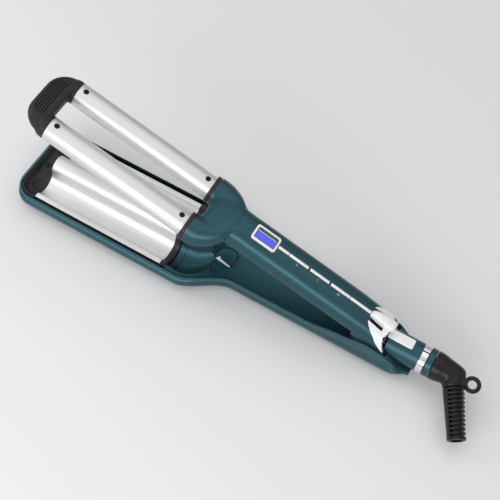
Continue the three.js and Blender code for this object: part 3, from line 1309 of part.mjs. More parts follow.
function piece(name, shape, look) {
  const made = shape.getMesh();
  const cut = new THREE.BufferGeometry();
  const positions = new Float32Array(made.numVert * 3);
  for (let i = 0; i < made.numVert; i += 1) {
    const start = i * made.numProp;
    positions.set(made.vertProperties.subarray(start, start + 3), i * 3);
  }
  cut.setAttribute("position", new THREE.BufferAttribute(positions, 3));
  cut.setIndex(new THREE.BufferAttribute(made.triVerts, 1));
  const geometry = mergeVertices(cut, SLIVER);
  geometry.setIndex(withoutCollapsed(geometry.index.array));
  geometry.computeVertexNormals();
  const mesh = new THREE.Mesh(geometry, FINISHES[look].clone());
  mesh.name = name;
  return mesh;
}

// Assembly

const upperArm = new THREE.Group();
upperArm.rotation.y = OPEN_ANGLE;
upperArm.add(
  piece("upper_top_shell", upperTopShell(), "teal"),
  piece("upper_bottom_cover", upperBottomCover(), "tealInner"),
  piece("tip_bridge", tipBridge(), "black"),
  piece("hinge_cap", hingeCap(), "white"),
  piece("display_bezel", displayBezel(), "chrome"),
  piece("display_window", displayWindow(), "display"),
  piece("display_module", displayModule(), "black"),
  piece("main_board", mainBoard(), "board"),
);
for (const [sideName, side] of SIDES) {
  upperArm.add(
    piece(`barrel_${sideName}`, barrel(side), "satin"),
    piece(`barrel_collar_${sideName}`, collar(side), "collar"),
    piece(`barrel_heater_${sideName}`, barrelHeater(side), "ceramic"),
    piece(`hinge_bush_${sideName}`, hingeBush(side), "brass"),
  );
  barrelScrewPlaces().forEach((at, i) => {
    const end = i === 0 ? "root" : "tip";
    upperArm.add(piece(`barrel_screw_${sideName}_${end}`, barrelScrew(side, at), "screw"));
  });
}
for (let number = 0; number < BUTTON_COUNT; number += 1) {
  upperArm.add(piece(`button_${number + 1}`, button(number), "chrome"));
  upperArm.add(piece(`button_switch_${number + 1}`, tactSwitch(number), "black"));
}
stripSpans().forEach((span, i) => {
  upperArm.add(piece(`strip_inlay_${i === 0 ? "front" : "rear"}`, stripInlay(span), "chrome"));
});
COVER_SCREWS.forEach((at, i) => {
  upperArm.add(piece(`upper_cover_screw_${i + 1}`, coverScrew(at), "steel"));
});

const lowerArm = new THREE.Group();
lowerArm.add(
  piece("lower_shell", lowerShell(), "teal"),
  piece("wave_plate", wavePlate(), "satin"),
  piece("rear_insulator", rearInsulator(), "collar"),
  piece("heater_carrier", heaterCarrier(), "ceramic"),
  piece("tip_frame", tipFrame(), "black"),
  piece("tip_frame_screw", tipFrameScrew(), "screw"),
  piece("inner_cover", innerCover(), "tealInner"),
  piece("depth_dial", depthDial(), "tealInner"),
  piece("dial_pointer", dialPointer(), "chrome"),
  piece("hinge_pin", hingePin(), "steel"),
  piece("hinge_spring", hingeSpring(), "steel"),
  piece("rear_stub", rearStub(), "teal"),
  piece("chrome_ring", splitRing(CHROME_RING_RADIUS, spigotStart + GAP, tealRingStart - GAP), "chrome"),
  piece("teal_ring", tealRing(), "teal"),
  piece("lock_slide", lockSlide(), "white"),
);
for (const [sideName, side] of SIDES) {
  lowerArm.add(piece(`plate_heater_${sideName}`, plateHeater(side), "ceramic"));
}
COVER_FASTENERS.forEach((at, i) => {
  lowerArm.add(piece(`inner_cover_screw_${i + 1}`, innerCoverScrew(at), "steel"));
});

const cordSwivel = new THREE.Group();
cordSwivel.add(
  piece("swivel_boot", swivelBoot(), "black"),
  piece("strain_relief", strainRelief(), "black"),
  piece("swivel_shaft", swivelShaft(), "black"),
);
CONTACT_PLACES.forEach(([at, pole], i) => {
  cordSwivel.add(piece(`contact_ring_${pole}`, contactRing(at), "brass"));
  lowerArm.add(piece(`contact_brush_${pole}`, contactBrush(at, i === 0 ? -1 : 1), "brass"));
});

const waver = new THREE.Group();
waver.add(upperArm, lowerArm, cordSwivel);
waver.position.z = HINGE_HEIGHT;

export default waver;
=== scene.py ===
"""Looks of a deep-wave hair waver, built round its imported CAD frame.

Shapes are drawn in millimetres about the hinge axis with the arms shut, as the CAD source draws
them. Place then swings the upper arm open, lifts everything onto the rest face and turns it to metres.
"""

import json
import logging
import math
from collections.abc import Callable, Sequence
from dataclasses import dataclass
from enum import Enum

import bmesh
import bpy
import numpy as np
from bpy.types import Material, Mesh, NodeSocket, NodeTree
from mathutils import Matrix, Vector


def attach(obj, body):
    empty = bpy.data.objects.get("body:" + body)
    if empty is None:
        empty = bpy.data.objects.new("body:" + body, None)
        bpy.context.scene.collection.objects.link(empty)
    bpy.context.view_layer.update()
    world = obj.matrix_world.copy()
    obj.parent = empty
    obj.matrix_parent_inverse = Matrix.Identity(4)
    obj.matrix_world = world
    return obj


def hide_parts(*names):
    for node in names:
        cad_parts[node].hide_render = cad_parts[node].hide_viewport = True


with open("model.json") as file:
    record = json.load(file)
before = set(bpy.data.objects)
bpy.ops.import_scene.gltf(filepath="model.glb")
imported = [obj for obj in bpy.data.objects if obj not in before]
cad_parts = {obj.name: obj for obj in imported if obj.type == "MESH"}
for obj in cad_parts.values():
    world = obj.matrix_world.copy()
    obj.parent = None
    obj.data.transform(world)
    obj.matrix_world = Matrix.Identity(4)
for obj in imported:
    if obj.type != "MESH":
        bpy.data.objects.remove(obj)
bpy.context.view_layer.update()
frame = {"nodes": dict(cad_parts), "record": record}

log = logging.getLogger("waver")

MM = 0.001

# Sizes that several pieces share, in drawing millimetres
HINGE_HEIGHT = 21.5
REACH = 80.0
GAP = 0.3
WALL = 2.0
SCREW_HOLE = 1.2
SCREW_HEAD_SEAT = 2.4
SHAFT_BORE = 5.8

OPEN_ANGLE = math.radians(15.6)
SIDES = (("near", -1), ("far", 1))

Pair = tuple[float, float]
Triple = tuple[float, float, float]
Stations = Sequence[Pair]


class Carrier(Enum):
    """The CAD bodies that pieces ride on."""

    LOWER_ARM = "lower_arm"
    UPPER_ARM = "upper_arm"
    BUTTON_1 = "button_1"
    BUTTON_2 = "button_2"
    BUTTON_3 = "button_3"
    LOCK_SLIDE = "lock_slide"
    DEPTH_DIAL = "depth_dial"
    CORD_SWIVEL = "cord_swivel"

    @property
    def swings(self) -> bool:
        """Whether the body is drawn shut and stands open at rest."""
        return self is Carrier.UPPER_ARM or self.value.startswith("button")

    @property
    def placing(self) -> Matrix:
        """The matrix from drawing millimetres to the shared frame in metres.

        Returns:
            The body's place at rest.
        """
        turn = Matrix.Rotation(OPEN_ANGLE if self.swings else 0.0, 4, "Y")
        lift = Matrix.Translation((0, 0, HINGE_HEIGHT * MM))
        return lift @ Matrix.Scale(MM, 4) @ turn


class Axis(Enum):
    """The direction in which a flat outline is drawn out."""

    X = 0
    Y = 1
    Z = 2


class Joining(Enum):
    """How one solid is combined with another."""

    JOIN = "UNION"
    CUT = "DIFFERENCE"
    COMMON = "INTERSECT"


def eased(stations: Stations, place: float) -> float:
    """Reads a value from stations with an S-curve between each two.

    Args:
        stations: Pairs of place and value, in rising order of place.
        place: Where to read.

    Returns:
        The value there, held level beyond both ends.
    """
    if place <= stations[0][0]:
        return stations[0][1]
    for (p0, v0), (p1, v1) in zip(stations, stations[1:]):
        if place <= p1:
            share = (place - p0) / (p1 - p0)
            return v0 + (v1 - v0) * share * share * (3 - 2 * share)
    return stations[-1][1]


def flowing(stations: Stations, place: float) -> float:
    """Reads a value from stations on one smooth curve that never overshoots them.

    Args:
        stations: Pairs of place and value, in rising order of place.
        place: Where to read.

    Returns:
        The value there, held level beyond both ends.
    """
    places = [p for p, _ in stations]
    values = [v for _, v in stations]
    if place <= places[0]:
        return values[0]
    if place >= places[-1]:
        return values[-1]
    slopes = [(values[i + 1] - values[i]) / (places[i + 1] - places[i]) for i in range(len(places) - 1)]
    bends = [slopes[0]]
    for before, after in zip(slopes, slopes[1:]):
        bends.append(0.0 if before * after <= 0 else 2 * before * after / (before + after))
    bends.append(slopes[-1])
    i = next(n for n in range(len(slopes)) if place <= places[n + 1])
    width = places[i + 1] - places[i]
    t = (place - places[i]) / width
    return (
        (2 * t**3 - 3 * t**2 + 1) * values[i]
        + (t**3 - 2 * t**2 + t) * width * bends[i]
        + (3 * t**2 - 2 * t**3) * values[i + 1]
        + (t**3 - t**2) * width * bends[i + 1]
    )


def spread(low: float, high: float, step: float) -> list[float]:
    """Places from low to high, both included, about one step apart."""
    count = max(1, round((high - low) / step))
    return [low + (high - low) * i / count for i in range(count + 1)]


def rounded_outline(
    length: float, width: float, corner: float, cx: float = 0, cy: float = 0, steps: int = 8,
) -> list[Pair]:
    """The outline of a rectangle with rounded corners.

    Args:
        length: Size along the first coordinate.
        width: Size along the second coordinate.
        corner: Radius of the corners.
        cx: Middle along the first coordinate.
        cy: Middle along the second coordinate.
        steps: Edges in each corner.

    Returns:
        The outline's points in order.
    """
    outline = []
    for quarter in range(4):
        sx = 1 if quarter in (0, 3) else -1
        sy = 1 if quarter < 2 else -1
        for i in range(steps + 1):
            angle = (quarter + i / steps) * math.pi / 2
            x = cx + sx * (length / 2 - corner) + corner * math.cos(angle)
            outline.append((x, cy + sy * (width / 2 - corner) + corner * math.sin(angle)))
    return outline


def signed_power(value: float, power: float) -> float:
    """A power that keeps the sign of its base."""
    return math.copysign(abs(value) ** power, value)


class Solid:
    """A closed mesh in drawing millimetres that can be joined with and cut by others."""

    def __init__(self, mesh: Mesh) -> None:
        """Keeps the mesh as it is."""
        self.mesh = mesh

    @classmethod
    def from_shell(cls, shell: bmesh.types.BMesh) -> "Solid":
        """Closes off a bmesh: merges doubles and turns all faces outwards.

        Args:
            shell: The faces, which are freed afterwards.

        Returns:
            The closed solid.
        """
        bmesh.ops.remove_doubles(shell, verts=shell.verts, dist=1e-4)
        bmesh.ops.recalc_face_normals(shell, faces=shell.faces)
        mesh = bpy.data.meshes.new("solid")
        shell.to_mesh(mesh)
        shell.free()
        return cls(mesh)

    @classmethod
    def loft(cls, rings: Sequence[Sequence[Vector]]) -> "Solid":
        """Skins a row of rings with equal numbers of points and closes both ends.

        Args:
            rings: The sections in order.

        Returns:
            The closed solid.
        """
        shell = bmesh.new()
        rows = [[shell.verts.new(point) for point in ring] for ring in rings]
        count = len(rows[0])
        for row, following in zip(rows, rows[1:]):
            for j in range(count):
                k = (j + 1) % count
                shell.faces.new((row[j], row[k], following[k], following[j]))
        for row in (rows[0], rows[-1]):
            centre = shell.verts.new(sum((v.co for v in row), Vector()) / count)
            for j in range(count):
                shell.faces.new((centre, row[j], row[(j + 1) % count]))
        return cls.from_shell(shell)

    @classmethod
    def prism(cls, outline: Sequence[Pair], low: float, high: float, axis: Axis) -> "Solid":
        """Draws a flat outline out along an axis.

        Args:
            outline: Points in the plane of the two other axes, in their alphabetical order.
            low: Where the prism starts on the axis.
            high: Where it ends.
            axis: The direction of the drawing out.

        Returns:
            The closed prism.
        """
        shell = bmesh.new()
        ends = []
        for level in (low, high):
            row = []
            for a, b in outline:
                place = [a, b]
                place.insert(axis.value, level)
                row.append(shell.verts.new(place))
            ends.append(row)
        shell.faces.new(ends[0])
        shell.faces.new(ends[1])
        count = len(outline)
        for j in range(count):
            k = (j + 1) % count
            shell.faces.new((ends[0][j], ends[0][k], ends[1][k], ends[1][j]))
        return cls.from_shell(shell)

    @classmethod
    def rod(
        cls, start: Sequence[float], end: Sequence[float], radius: float, sides: int = 48,
        end_radius: float | None = None,
    ) -> "Solid":
        """A round bar between two points.

        Args:
            start: Middle of the first end.
            end: Middle of the other end.
            radius: Radius at the start.
            sides: Flats round it.
            end_radius: Radius at the end, where the bar is tapered.

        Returns:
            The bar.
        """
        a, b = Vector(start), Vector(end)
        shell = bmesh.new()
        turn = Vector((0, 0, 1)).rotation_difference(b - a).to_matrix().to_4x4()
        bmesh.ops.create_cone(
            shell, cap_ends=True, segments=sides, radius1=radius,
            radius2=radius if end_radius is None else end_radius,
            depth=(b - a).length, matrix=Matrix.Translation((a + b) / 2) @ turn,
        )
        return cls.from_shell(shell)

    @classmethod
    def block(cls, low: Sequence[float], high: Sequence[float], rounding: float = 0.0) -> "Solid":
        """A box.

        Args:
            low: Lowest corner.
            high: Highest corner.
            rounding: Radius of its edges, 0 for sharp ones.

        Returns:
            The box.
        """
        shell = bmesh.new()
        size = Vector(high) - Vector(low)
        middle = Matrix.Translation((Vector(high) + Vector(low)) / 2)
        bmesh.ops.create_cube(shell, size=1, matrix=middle @ Matrix.Diagonal((*size, 1)))
        if rounding:
            bmesh.ops.bevel(
                shell, geom=list(shell.edges), offset=rounding, segments=3, profile=0.5,
                affect="EDGES", clamp_overlap=True,
            )
        return cls.from_shell(shell)

    @classmethod
    def turned(cls, profile: Sequence[Pair], sides: int = 64) -> "Solid":
        """A turned piece on the X axis.

        Args:
            profile: Pairs of place and radius. Those at both ends have no radius and only mark the axis.
            sides: Flats round it.

        Returns:
            The turned solid.
        """
        rings = [
            [Vector((x, radius * math.cos(t), radius * math.sin(t))) for t in circle(sides)]
            for x, radius in profile if radius > 0
        ]
        return cls.loft(rings)

    @classmethod
    def ball(cls, centre: Sequence[float], radius: float, sides: int = 64) -> "Solid":
        """A sphere.

        Args:
            centre: Its middle.
            radius: Its radius.
            sides: Flats round it.

        Returns:
            The sphere.
        """
        shell = bmesh.new()
        bmesh.ops.create_uvsphere(
            shell, u_segments=sides, v_segments=sides // 2, radius=radius, matrix=Matrix.Translation(centre),
        )
        return cls.from_shell(shell)

    def through(
        self, kind: str, settings: dict[str, object], inputs: dict[str, object] | None = None,
        tool: "Solid | None" = None,
    ) -> "Solid":
        """Runs this mesh through one modifier.

        Args:
            kind: The modifier's type.
            settings: The modifier's properties.
            inputs: The inputs of its Geometry Nodes tree, by socket identifier.
            tool: The other solid of a boolean.

        Returns:
            The plain result as a new solid.
        """
        holder = bpy.data.objects.new("working", self.mesh)
        bpy.context.scene.collection.objects.link(holder)
        step = holder.modifiers.new("step", kind)
        for name, value in settings.items():
            setattr(step, name, value)
        for identifier, value in (inputs or {}).items():
            step[identifier] = value
        used = [holder]
        if tool:
            step.object = bpy.data.objects.new("tool", tool.mesh)
            bpy.context.scene.collection.objects.link(step.object)
            used.append(step.object)
        bpy.context.view_layer.update()
        graph = bpy.context.evaluated_depsgraph_get()
        made = bpy.data.meshes.new_from_object(holder.evaluated_get(graph), depsgraph=graph)
        for helper in used:
            bpy.data.objects.remove(helper)
        return Solid(made)

    def _combined(self, others: Sequence["Solid"], joining: Joining) -> "Solid":
        """Combines this solid with each of the others in turn.

        Args:
            others: The other solids.
            joining: What is done with each.

        Returns:
            The result. The exact solver is used where the quick one leaves nothing.
        """
        result = self
        for other in others:
            for solver in ("MANIFOLD", "EXACT"):
                made = result.through("BOOLEAN", {"operation": joining.value, "solver": solver}, tool=other)
                if len(made.mesh.polygons) > 0:
                    break
            result = made
        return result

    def join(self, *others: "Solid") -> "Solid":
        """This solid and the others as one."""
        return self._combined(others, Joining.JOIN)

    def cut(self, *others: "Solid") -> "Solid":
        """This solid without the others."""
        return self._combined(others, Joining.CUT)

    def common(self, *others: "Solid") -> "Solid":
        """What this solid shares with all the others."""
        return self._combined(others, Joining.COMMON)

    def moved(self, matrix: Matrix) -> "Solid":
        """A copy that is moved or turned.

        Args:
            matrix: What moves it.

        Returns:
            The moved copy.
        """
        mesh = self.mesh.copy()
        mesh.transform(matrix)
        return Solid(mesh)

    def melted(self, voxel: float, passes: int, share: Callable[[np.ndarray], np.ndarray]) -> "Solid":
        """Melts overlapping shells into one skin and eases its inner corners.

        Args:
            voxel: Size of the skin's squares in millimetres.
            passes: How many times corners are eased.
            share: How much of each pass a point takes, from its coordinates.

        Returns:
            The melted solid.
        """
        skin = self.through("REMESH", {"mode": "VOXEL", "voxel_size": voxel}).mesh
        count = len(skin.vertices)
        points = np.zeros(count * 3, np.float32)
        skin.vertices.foreach_get("co", points)
        points = points.reshape(-1, 3).astype(float)
        edges = np.zeros(len(skin.edges) * 2, np.int32)
        skin.edges.foreach_get("vertices", edges)
        edges = edges.reshape(-1, 2)
        degree = np.bincount(edges.ravel(), minlength=count)[:, None]
        weight = share(points)[:, None]
        for _ in range(passes):
            total = np.zeros_like(points)
            np.add.at(total, edges[:, 0], points[edges[:, 1]])
            np.add.at(total, edges[:, 1], points[edges[:, 0]])
            points += (total / np.maximum(degree, 1) - points) * weight
        skin.vertices.foreach_set("co", points.astype(np.float32).ravel())
        skin.update()
        return Solid(skin)


def circle(sides: int) -> list[float]:
    """Angles once round, one for each side."""
    return [i / sides * math.tau for i in range(sides)]


def rod_x(low: float, high: float, radius: float, y: float = 0, z: float = 0, sides: int = 64) -> Solid:
    """A round bar along X."""
    return Solid.rod((low, y, z), (high, y, z), radius, sides)


def rod_y(low: float, high: float, radius: float, x: float = 0, z: float = 0, sides: int = 64) -> Solid:
    """A round bar along Y."""
    return Solid.rod((x, low, z), (x, high, z), radius, sides)


def rod_z(low: float, high: float, radius: float, x: float = 0, y: float = 0, sides: int = 48) -> Solid:
    """A round bar along Z."""
    return Solid.rod((x, y, low), (x, y, high), radius, sides)


def slab_x(low: float, high: float) -> Solid:
    """Everything between two places along the arm."""
    return Solid.block((low, -REACH, -REACH), (high, REACH, REACH))


def rounded_plate(
    levels: Sequence[Pair], length: float, width: float, corner: float, cx: float, steps: int = 8,
) -> Solid:
    """Skins rounded rectangles that lie above each other.

    Args:
        levels: Height of each, and how much smaller it is all round.
        length: Size along X.
        width: Size along Y.
        corner: Radius of the corners.
        cx: Middle along X.
        steps: Edges in each corner.

    Returns:
        The closed plate.
    """
    rings = []
    for z, inset in levels:
        size = (length - 2 * inset, width - 2 * inset, corner - inset)
        rings.append([Vector((x, y, z)) for x, y in rounded_outline(*size, cx, 0, steps)])
    return Solid.loft(rings)


# Shader groups


def new_group(name: str, inputs: dict[str, tuple[str, object]], outputs: dict[str, str]) -> NodeTree:
    """Makes an empty shader node group with named sockets.

    Args:
        name: Name of the group.
        inputs: Socket name to its kind and its default value.
        outputs: Socket name to its kind.

    Returns:
        The group, with its Group Input and Group Output nodes in place.
    """
    group = bpy.data.node_groups.new(name, "ShaderNodeTree")
    for socket, (kind, value) in inputs.items():
        made = group.interface.new_socket(socket, in_out="INPUT", socket_type=f"NodeSocket{kind}")
        made.default_value = value
    for socket, kind in outputs.items():
        group.interface.new_socket(socket, in_out="OUTPUT", socket_type=f"NodeSocket{kind}")
    group.nodes.new("NodeGroupInput").name = "in"
    group.nodes.new("NodeGroupOutput").name = "out"
    return group


def add_node(tree: NodeTree, kind: str, links: dict | None = None, **settings: object) -> bpy.types.Node:
    """Adds a node, sets its properties, and links or sets its inputs.

    Args:
        tree: The tree that gets the node.
        kind: The node's type name.
        links: Input name or number to an output socket, or to a plain value.
        **settings: Properties of the node.

    Returns:
        The node.
    """
    node = tree.nodes.new(kind)
    for name, value in settings.items():
        setattr(node, name, value)
    for name, source in (links or {}).items():
        if isinstance(source, NodeSocket):
            tree.links.new(source, node.inputs[name])
        else:
            node.inputs[name].default_value = source
    return node


def add_math(tree: NodeTree, operation: str, *values: float | NodeSocket, clamp: bool = False) -> NodeSocket:
    """Adds a Math node."""
    given = dict(enumerate(values))
    return add_node(tree, "ShaderNodeMath", given, operation=operation, use_clamp=clamp).outputs[0]


def blank_material(name: str) -> Material:
    """Makes a material without any nodes.

    Args:
        name: Its name.

    Returns:
        The material.
    """
    material = bpy.data.materials.new(name)
    material.use_nodes = True
    material.node_tree.nodes.clear()
    return material


class ShaderGroups:
    """The effects that several finishes share, each built once."""

    def __init__(self) -> None:
        """Builds all the groups."""
        self.grain = self._grain()
        self.brushed = self._brushed()
        self.tint = self._tint()
        self.wear = self._wear()

    @staticmethod
    def _object_place(tree: NodeTree) -> NodeSocket:
        """The socket with the surface's object coordinates."""
        return add_node(tree, "ShaderNodeTexCoord").outputs["Object"]

    @staticmethod
    def _noise(
        tree: NodeTree, place: NodeSocket, scale: float | NodeSocket, detail: float, rough: float = 0.5,
    ) -> NodeSocket:
        """Adds a noise over the surface."""
        given = {"Vector": place, "Scale": scale, "Detail": detail, "Roughness": rough}
        return add_node(tree, "ShaderNodeTexNoise", given).outputs["Fac"]

    @staticmethod
    def _with_gloss(tree: NodeTree, height: NodeSocket, noise: NodeSocket) -> NodeTree:
        """Ends a relief group, with a gloss that a noise moves up and down.

        Args:
            tree: The group. It has the inputs Gloss and Spread.
            height: The relief.
            noise: The noise that moves the gloss.

        Returns:
            The same group.
        """
        given, out = tree.nodes["in"].outputs, tree.nodes["out"].inputs
        centred = add_math(tree, "SUBTRACT", noise, 0.5)
        tree.links.new(height, out["Height"])
        tree.links.new(
            add_math(tree, "MULTIPLY_ADD", centred, given["Spread"], given["Gloss"]), out["Roughness"],
        )
        return tree

    @staticmethod
    def _with_mix(tree: NodeTree, share: NodeSocket, second: NodeSocket) -> NodeTree:
        """Ends a colour group, with a second colour mixed into the first.

        Args:
            tree: The group. It has the input and the output Colour.
            share: How much of the second colour shows.
            second: The second colour.

        Returns:
            The same group.
        """
        first = tree.nodes["in"].outputs["Colour"]
        mixed = add_node(tree, "ShaderNodeMix", data_type="RGBA")
        for number, socket in ((0, share), (6, first), (7, second)):
            tree.links.new(socket, mixed.inputs[number])
        tree.links.new(mixed.outputs[2], tree.nodes["out"].inputs["Colour"])
        return tree

    def _grain(self) -> NodeTree:
        """Builds fine moulded grain, with a slow change of gloss from handling.

        Returns:
            The group.
        """
        tree = new_group(
            "moulded_grain",
            {"Size": ("Float", 1500.0), "Gloss": ("Float", 0.4), "Spread": ("Float", 0.08)},
            {"Height": "Float", "Roughness": "Float"},
        )
        place = self._object_place(tree)
        fine = self._noise(tree, place, tree.nodes["in"].outputs["Size"], 3.0, 0.6)
        return self._with_gloss(tree, fine, self._noise(tree, place, 45.0, 4.0, 0.55))

    def _brushed(self) -> NodeTree:
        """Builds long fine lines, as brushing or drawing leaves on metal.

        Returns:
            The group.
        """
        tree = new_group(
            "brushed_lines",
            {
                "Direction Scale": ("Vector", (25.0, 2600.0, 2600.0)), "Gloss": ("Float", 0.3),
                "Spread": ("Float", 0.1), "Turn": ("Vector", (0.0, 0.0, 0.0)),
            },
            {"Height": "Float", "Roughness": "Float"},
        )
        place, given = self._object_place(tree), tree.nodes["in"].outputs
        turned = add_node(tree, "ShaderNodeMapping", {"Vector": place, "Rotation": given["Turn"]})
        drawn = add_node(
            tree, "ShaderNodeMapping", {"Vector": turned.outputs[0], "Scale": given["Direction Scale"]},
        )
        lines = self._noise(tree, drawn.outputs[0], 1.0, 4.0, 0.65)
        return self._with_gloss(tree, lines, lines)

    def _tint(self) -> NodeTree:
        """Builds a colour that shifts slowly and carries fine flakes of a second colour.

        Returns:
            The group.
        """
        tree = new_group(
            "shifting_tint",
            {
                "Colour": ("Color", (0.5, 0.5, 0.5, 1)), "Second": ("Color", (0.6, 0.6, 0.6, 1)),
                "Flake Size": ("Float", 2600.0), "Flakes": ("Float", 0.3), "Shift": ("Float", 0.5),
            },
            {"Colour": "Color"},
        )
        place, given = self._object_place(tree), tree.nodes["in"].outputs
        flakes = add_node(tree, "ShaderNodeTexVoronoi", {"Vector": place, "Scale": given["Flake Size"]})
        grey = add_node(tree, "ShaderNodeRGBToBW", {"Color": flakes.outputs["Color"]})
        fleck = add_math(tree, "MULTIPLY", grey.outputs[0], given["Flakes"])
        slow = self._noise(tree, place, 28.0, 3.0)
        share = add_math(tree, "MULTIPLY_ADD", slow, given["Shift"], fleck, clamp=True)
        return self._with_mix(tree, share, given["Second"])

    def _wear(self) -> NodeTree:
        """Builds paler edges where hands and tables rub, broken up by noise.

        Returns:
            The group.
        """
        tree = new_group(
            "edge_wear",
            {
                "Colour": ("Color", (0.5, 0.5, 0.5, 1)), "Worn": ("Color", (0.8, 0.8, 0.8, 1)),
                "Amount": ("Float", 0.3),
            },
            {"Colour": "Color"},
        )
        place, given = self._object_place(tree), tree.nodes["in"].outputs
        edge = add_node(tree, "ShaderNodeAttribute", attribute_name="edge_wear")
        rubbed = add_math(tree, "MULTIPLY", self._noise(tree, place, 420.0, 5.0, 0.7), edge.outputs["Fac"])
        share = add_math(tree, "MULTIPLY", rubbed, given["Amount"], clamp=True)
        return self._with_mix(tree, share, given["Worn"])


# Finishes

Colour = tuple[float, float, float, float]


@dataclass(frozen=True)
class Finish:
    """A surface with shifting colour, worn edges, a fine relief and a changing gloss."""

    name: str
    colour: Colour
    second: Colour
    worn: Colour
    gloss: float
    metallic: float = 0.0
    flakes: float = 0.0
    shift: float = 0.5
    spread: float = 0.1
    grain_size: float = 1500.0
    relief: float = 0.00002
    coat: float = 0.0
    coat_gloss: float = 0.1
    specular: float = 0.5
    wear: float = 0.4
    brushed: bool = False
    lines: Triple = (25.0, 2600.0, 2600.0)
    turn: float = 0.0

    def build(self, groups: ShaderGroups) -> Material:
        """Makes the material.

        Args:
            groups: The shared effects.

        Returns:
            The material, ready to assign.
        """
        material = blank_material(self.name)
        tree = material.node_tree
        tint = add_node(
            tree, "ShaderNodeGroup",
            {"Colour": self.colour, "Second": self.second, "Flakes": self.flakes, "Shift": self.shift},
            node_tree=groups.tint,
        )
        wear = add_node(
            tree, "ShaderNodeGroup",
            {"Colour": tint.outputs["Colour"], "Worn": self.worn, "Amount": self.wear}, node_tree=groups.wear,
        )
        values = {"Gloss": self.gloss, "Spread": self.spread}
        if self.brushed:
            values |= {"Direction Scale": self.lines, "Turn": (0.0, self.turn, 0.0)}
        else:
            values["Size"] = self.grain_size
        relief = add_node(
            tree, "ShaderNodeGroup", values, node_tree=groups.brushed if self.brushed else groups.grain,
        )
        bump = add_node(
            tree, "ShaderNodeBump",
            {"Height": relief.outputs["Height"], "Distance": self.relief, "Strength": 0.6},
        )
        shader = add_node(
            tree, "ShaderNodeBsdfPrincipled",
            {
                "Base Color": wear.outputs["Colour"], "Roughness": relief.outputs["Roughness"],
                "Normal": bump.outputs["Normal"], "Metallic": self.metallic, "Coat Weight": self.coat,
                "Coat Roughness": self.coat_gloss, "Specular IOR Level": self.specular,
            },
        )
        add_node(tree, "ShaderNodeOutputMaterial", {"Surface": shader.outputs[0]})
        return material


@dataclass(frozen=True)
class LitPanel:
    """A lit display pane with a faint grid of cells under clear gloss."""

    name: str
    colour: Colour
    cell: Colour
    strength: float
    pitch: float = 0.0009

    def build(self, groups: ShaderGroups) -> Material:
        """Makes the material.

        Args:
            groups: The shared effects.

        Returns:
            The material, ready to assign.
        """
        material = blank_material(self.name)
        tree = material.node_tree
        place = add_node(tree, "ShaderNodeTexCoord").outputs["Object"]
        turned = add_node(tree, "ShaderNodeMapping", {"Vector": place, "Rotation": (0.0, -OPEN_ANGLE, 0.0)})
        cells = add_node(
            tree, "ShaderNodeTexBrick",
            {
                "Vector": turned.outputs[0], "Color1": self.colour, "Color2": self.colour,
                "Mortar": self.cell, "Scale": 1 / self.pitch, "Mortar Size": 0.08, "Brick Width": 1.0,
                "Row Height": 1.0,
            },
            offset=0.0,
        )
        tint = add_node(
            tree, "ShaderNodeGroup",
            {"Colour": cells.outputs["Color"], "Second": self.cell, "Shift": 0.35}, node_tree=groups.tint,
        )
        shader = add_node(
            tree, "ShaderNodeBsdfPrincipled",
            {
                "Base Color": tint.outputs["Colour"], "Emission Color": tint.outputs["Colour"],
                "Emission Strength": self.strength, "Roughness": 0.25, "Coat Weight": 1.0,
                "Coat Roughness": 0.04,
            },
        )
        add_node(tree, "ShaderNodeOutputMaterial", {"Surface": shader.outputs[0]})
        return material


TEAL = Finish(
    "teal_lacquer", (0.0175, 0.071, 0.09, 1), (0.028, 0.103, 0.128, 1), (0.1, 0.22, 0.25, 1), gloss=0.37,
    metallic=0.75, flakes=0.35, shift=0.3, coat=0.2, coat_gloss=0.25, wear=0.45,
)
TEAL_INNER = Finish(
    "teal_inner", (0.013, 0.067, 0.084, 1), (0.022, 0.1, 0.123, 1), (0.08, 0.18, 0.2, 1), gloss=0.38,
    metallic=0.55, flakes=0.2, shift=0.3, wear=0.3,
)
BLACK = Finish(
    "black_moulded", (0.015, 0.015, 0.0155, 1), (0.022, 0.0215, 0.022, 1), (0.07, 0.07, 0.07, 1), gloss=0.46,
    grain_size=1900.0, relief=0.00005, specular=0.3, wear=0.3,
)
COLLAR = Finish(
    "collar_moulded", (0.02, 0.014, 0.016, 1), (0.03, 0.023, 0.026, 1), (0.08, 0.07, 0.07, 1), gloss=0.42,
    grain_size=1700.0, relief=0.00004, specular=0.35, wear=0.3,
)
RUBBER = Finish(
    "relief_rubber", (0.005, 0.005, 0.0055, 1), (0.0085, 0.0085, 0.009, 1), (0.05, 0.05, 0.05, 1), gloss=0.3,
    grain_size=2400.0, relief=0.00003, specular=0.34, wear=0.3,
)
SATIN = Finish(
    "satin_barrel", (0.73, 0.73, 0.735, 1), (0.77, 0.77, 0.77, 1), (0.85, 0.85, 0.85, 1), gloss=0.48,
    metallic=1.0, shift=0.3, spread=0.06, relief=0.0000015, wear=0.2, brushed=True, turn=-OPEN_ANGLE,
    lines=(18.0, 3600.0, 3600.0),
)
# Same satin metal as the barrels, made lighter for the plate: the higher base colour paints in the brighter
# light that the plate catches.
SATIN_PLATE = Finish(
    "satin_plate", (0.81, 0.81, 0.815, 1), (0.85, 0.85, 0.85, 1), (0.85, 0.85, 0.85, 1), gloss=0.48,
    metallic=1.0, shift=0.3, spread=0.06, relief=0.0000015, wear=0.2, brushed=True,
    lines=(18.0, 3600.0, 3600.0),
)
CHROME = Finish(
    "chrome_trim", (0.82, 0.81, 0.82, 1), (0.88, 0.87, 0.88, 1), (0.95, 0.95, 0.95, 1), gloss=0.14,
    metallic=1.0, shift=0.3, spread=0.06, relief=0.000004, wear=0.1,
)
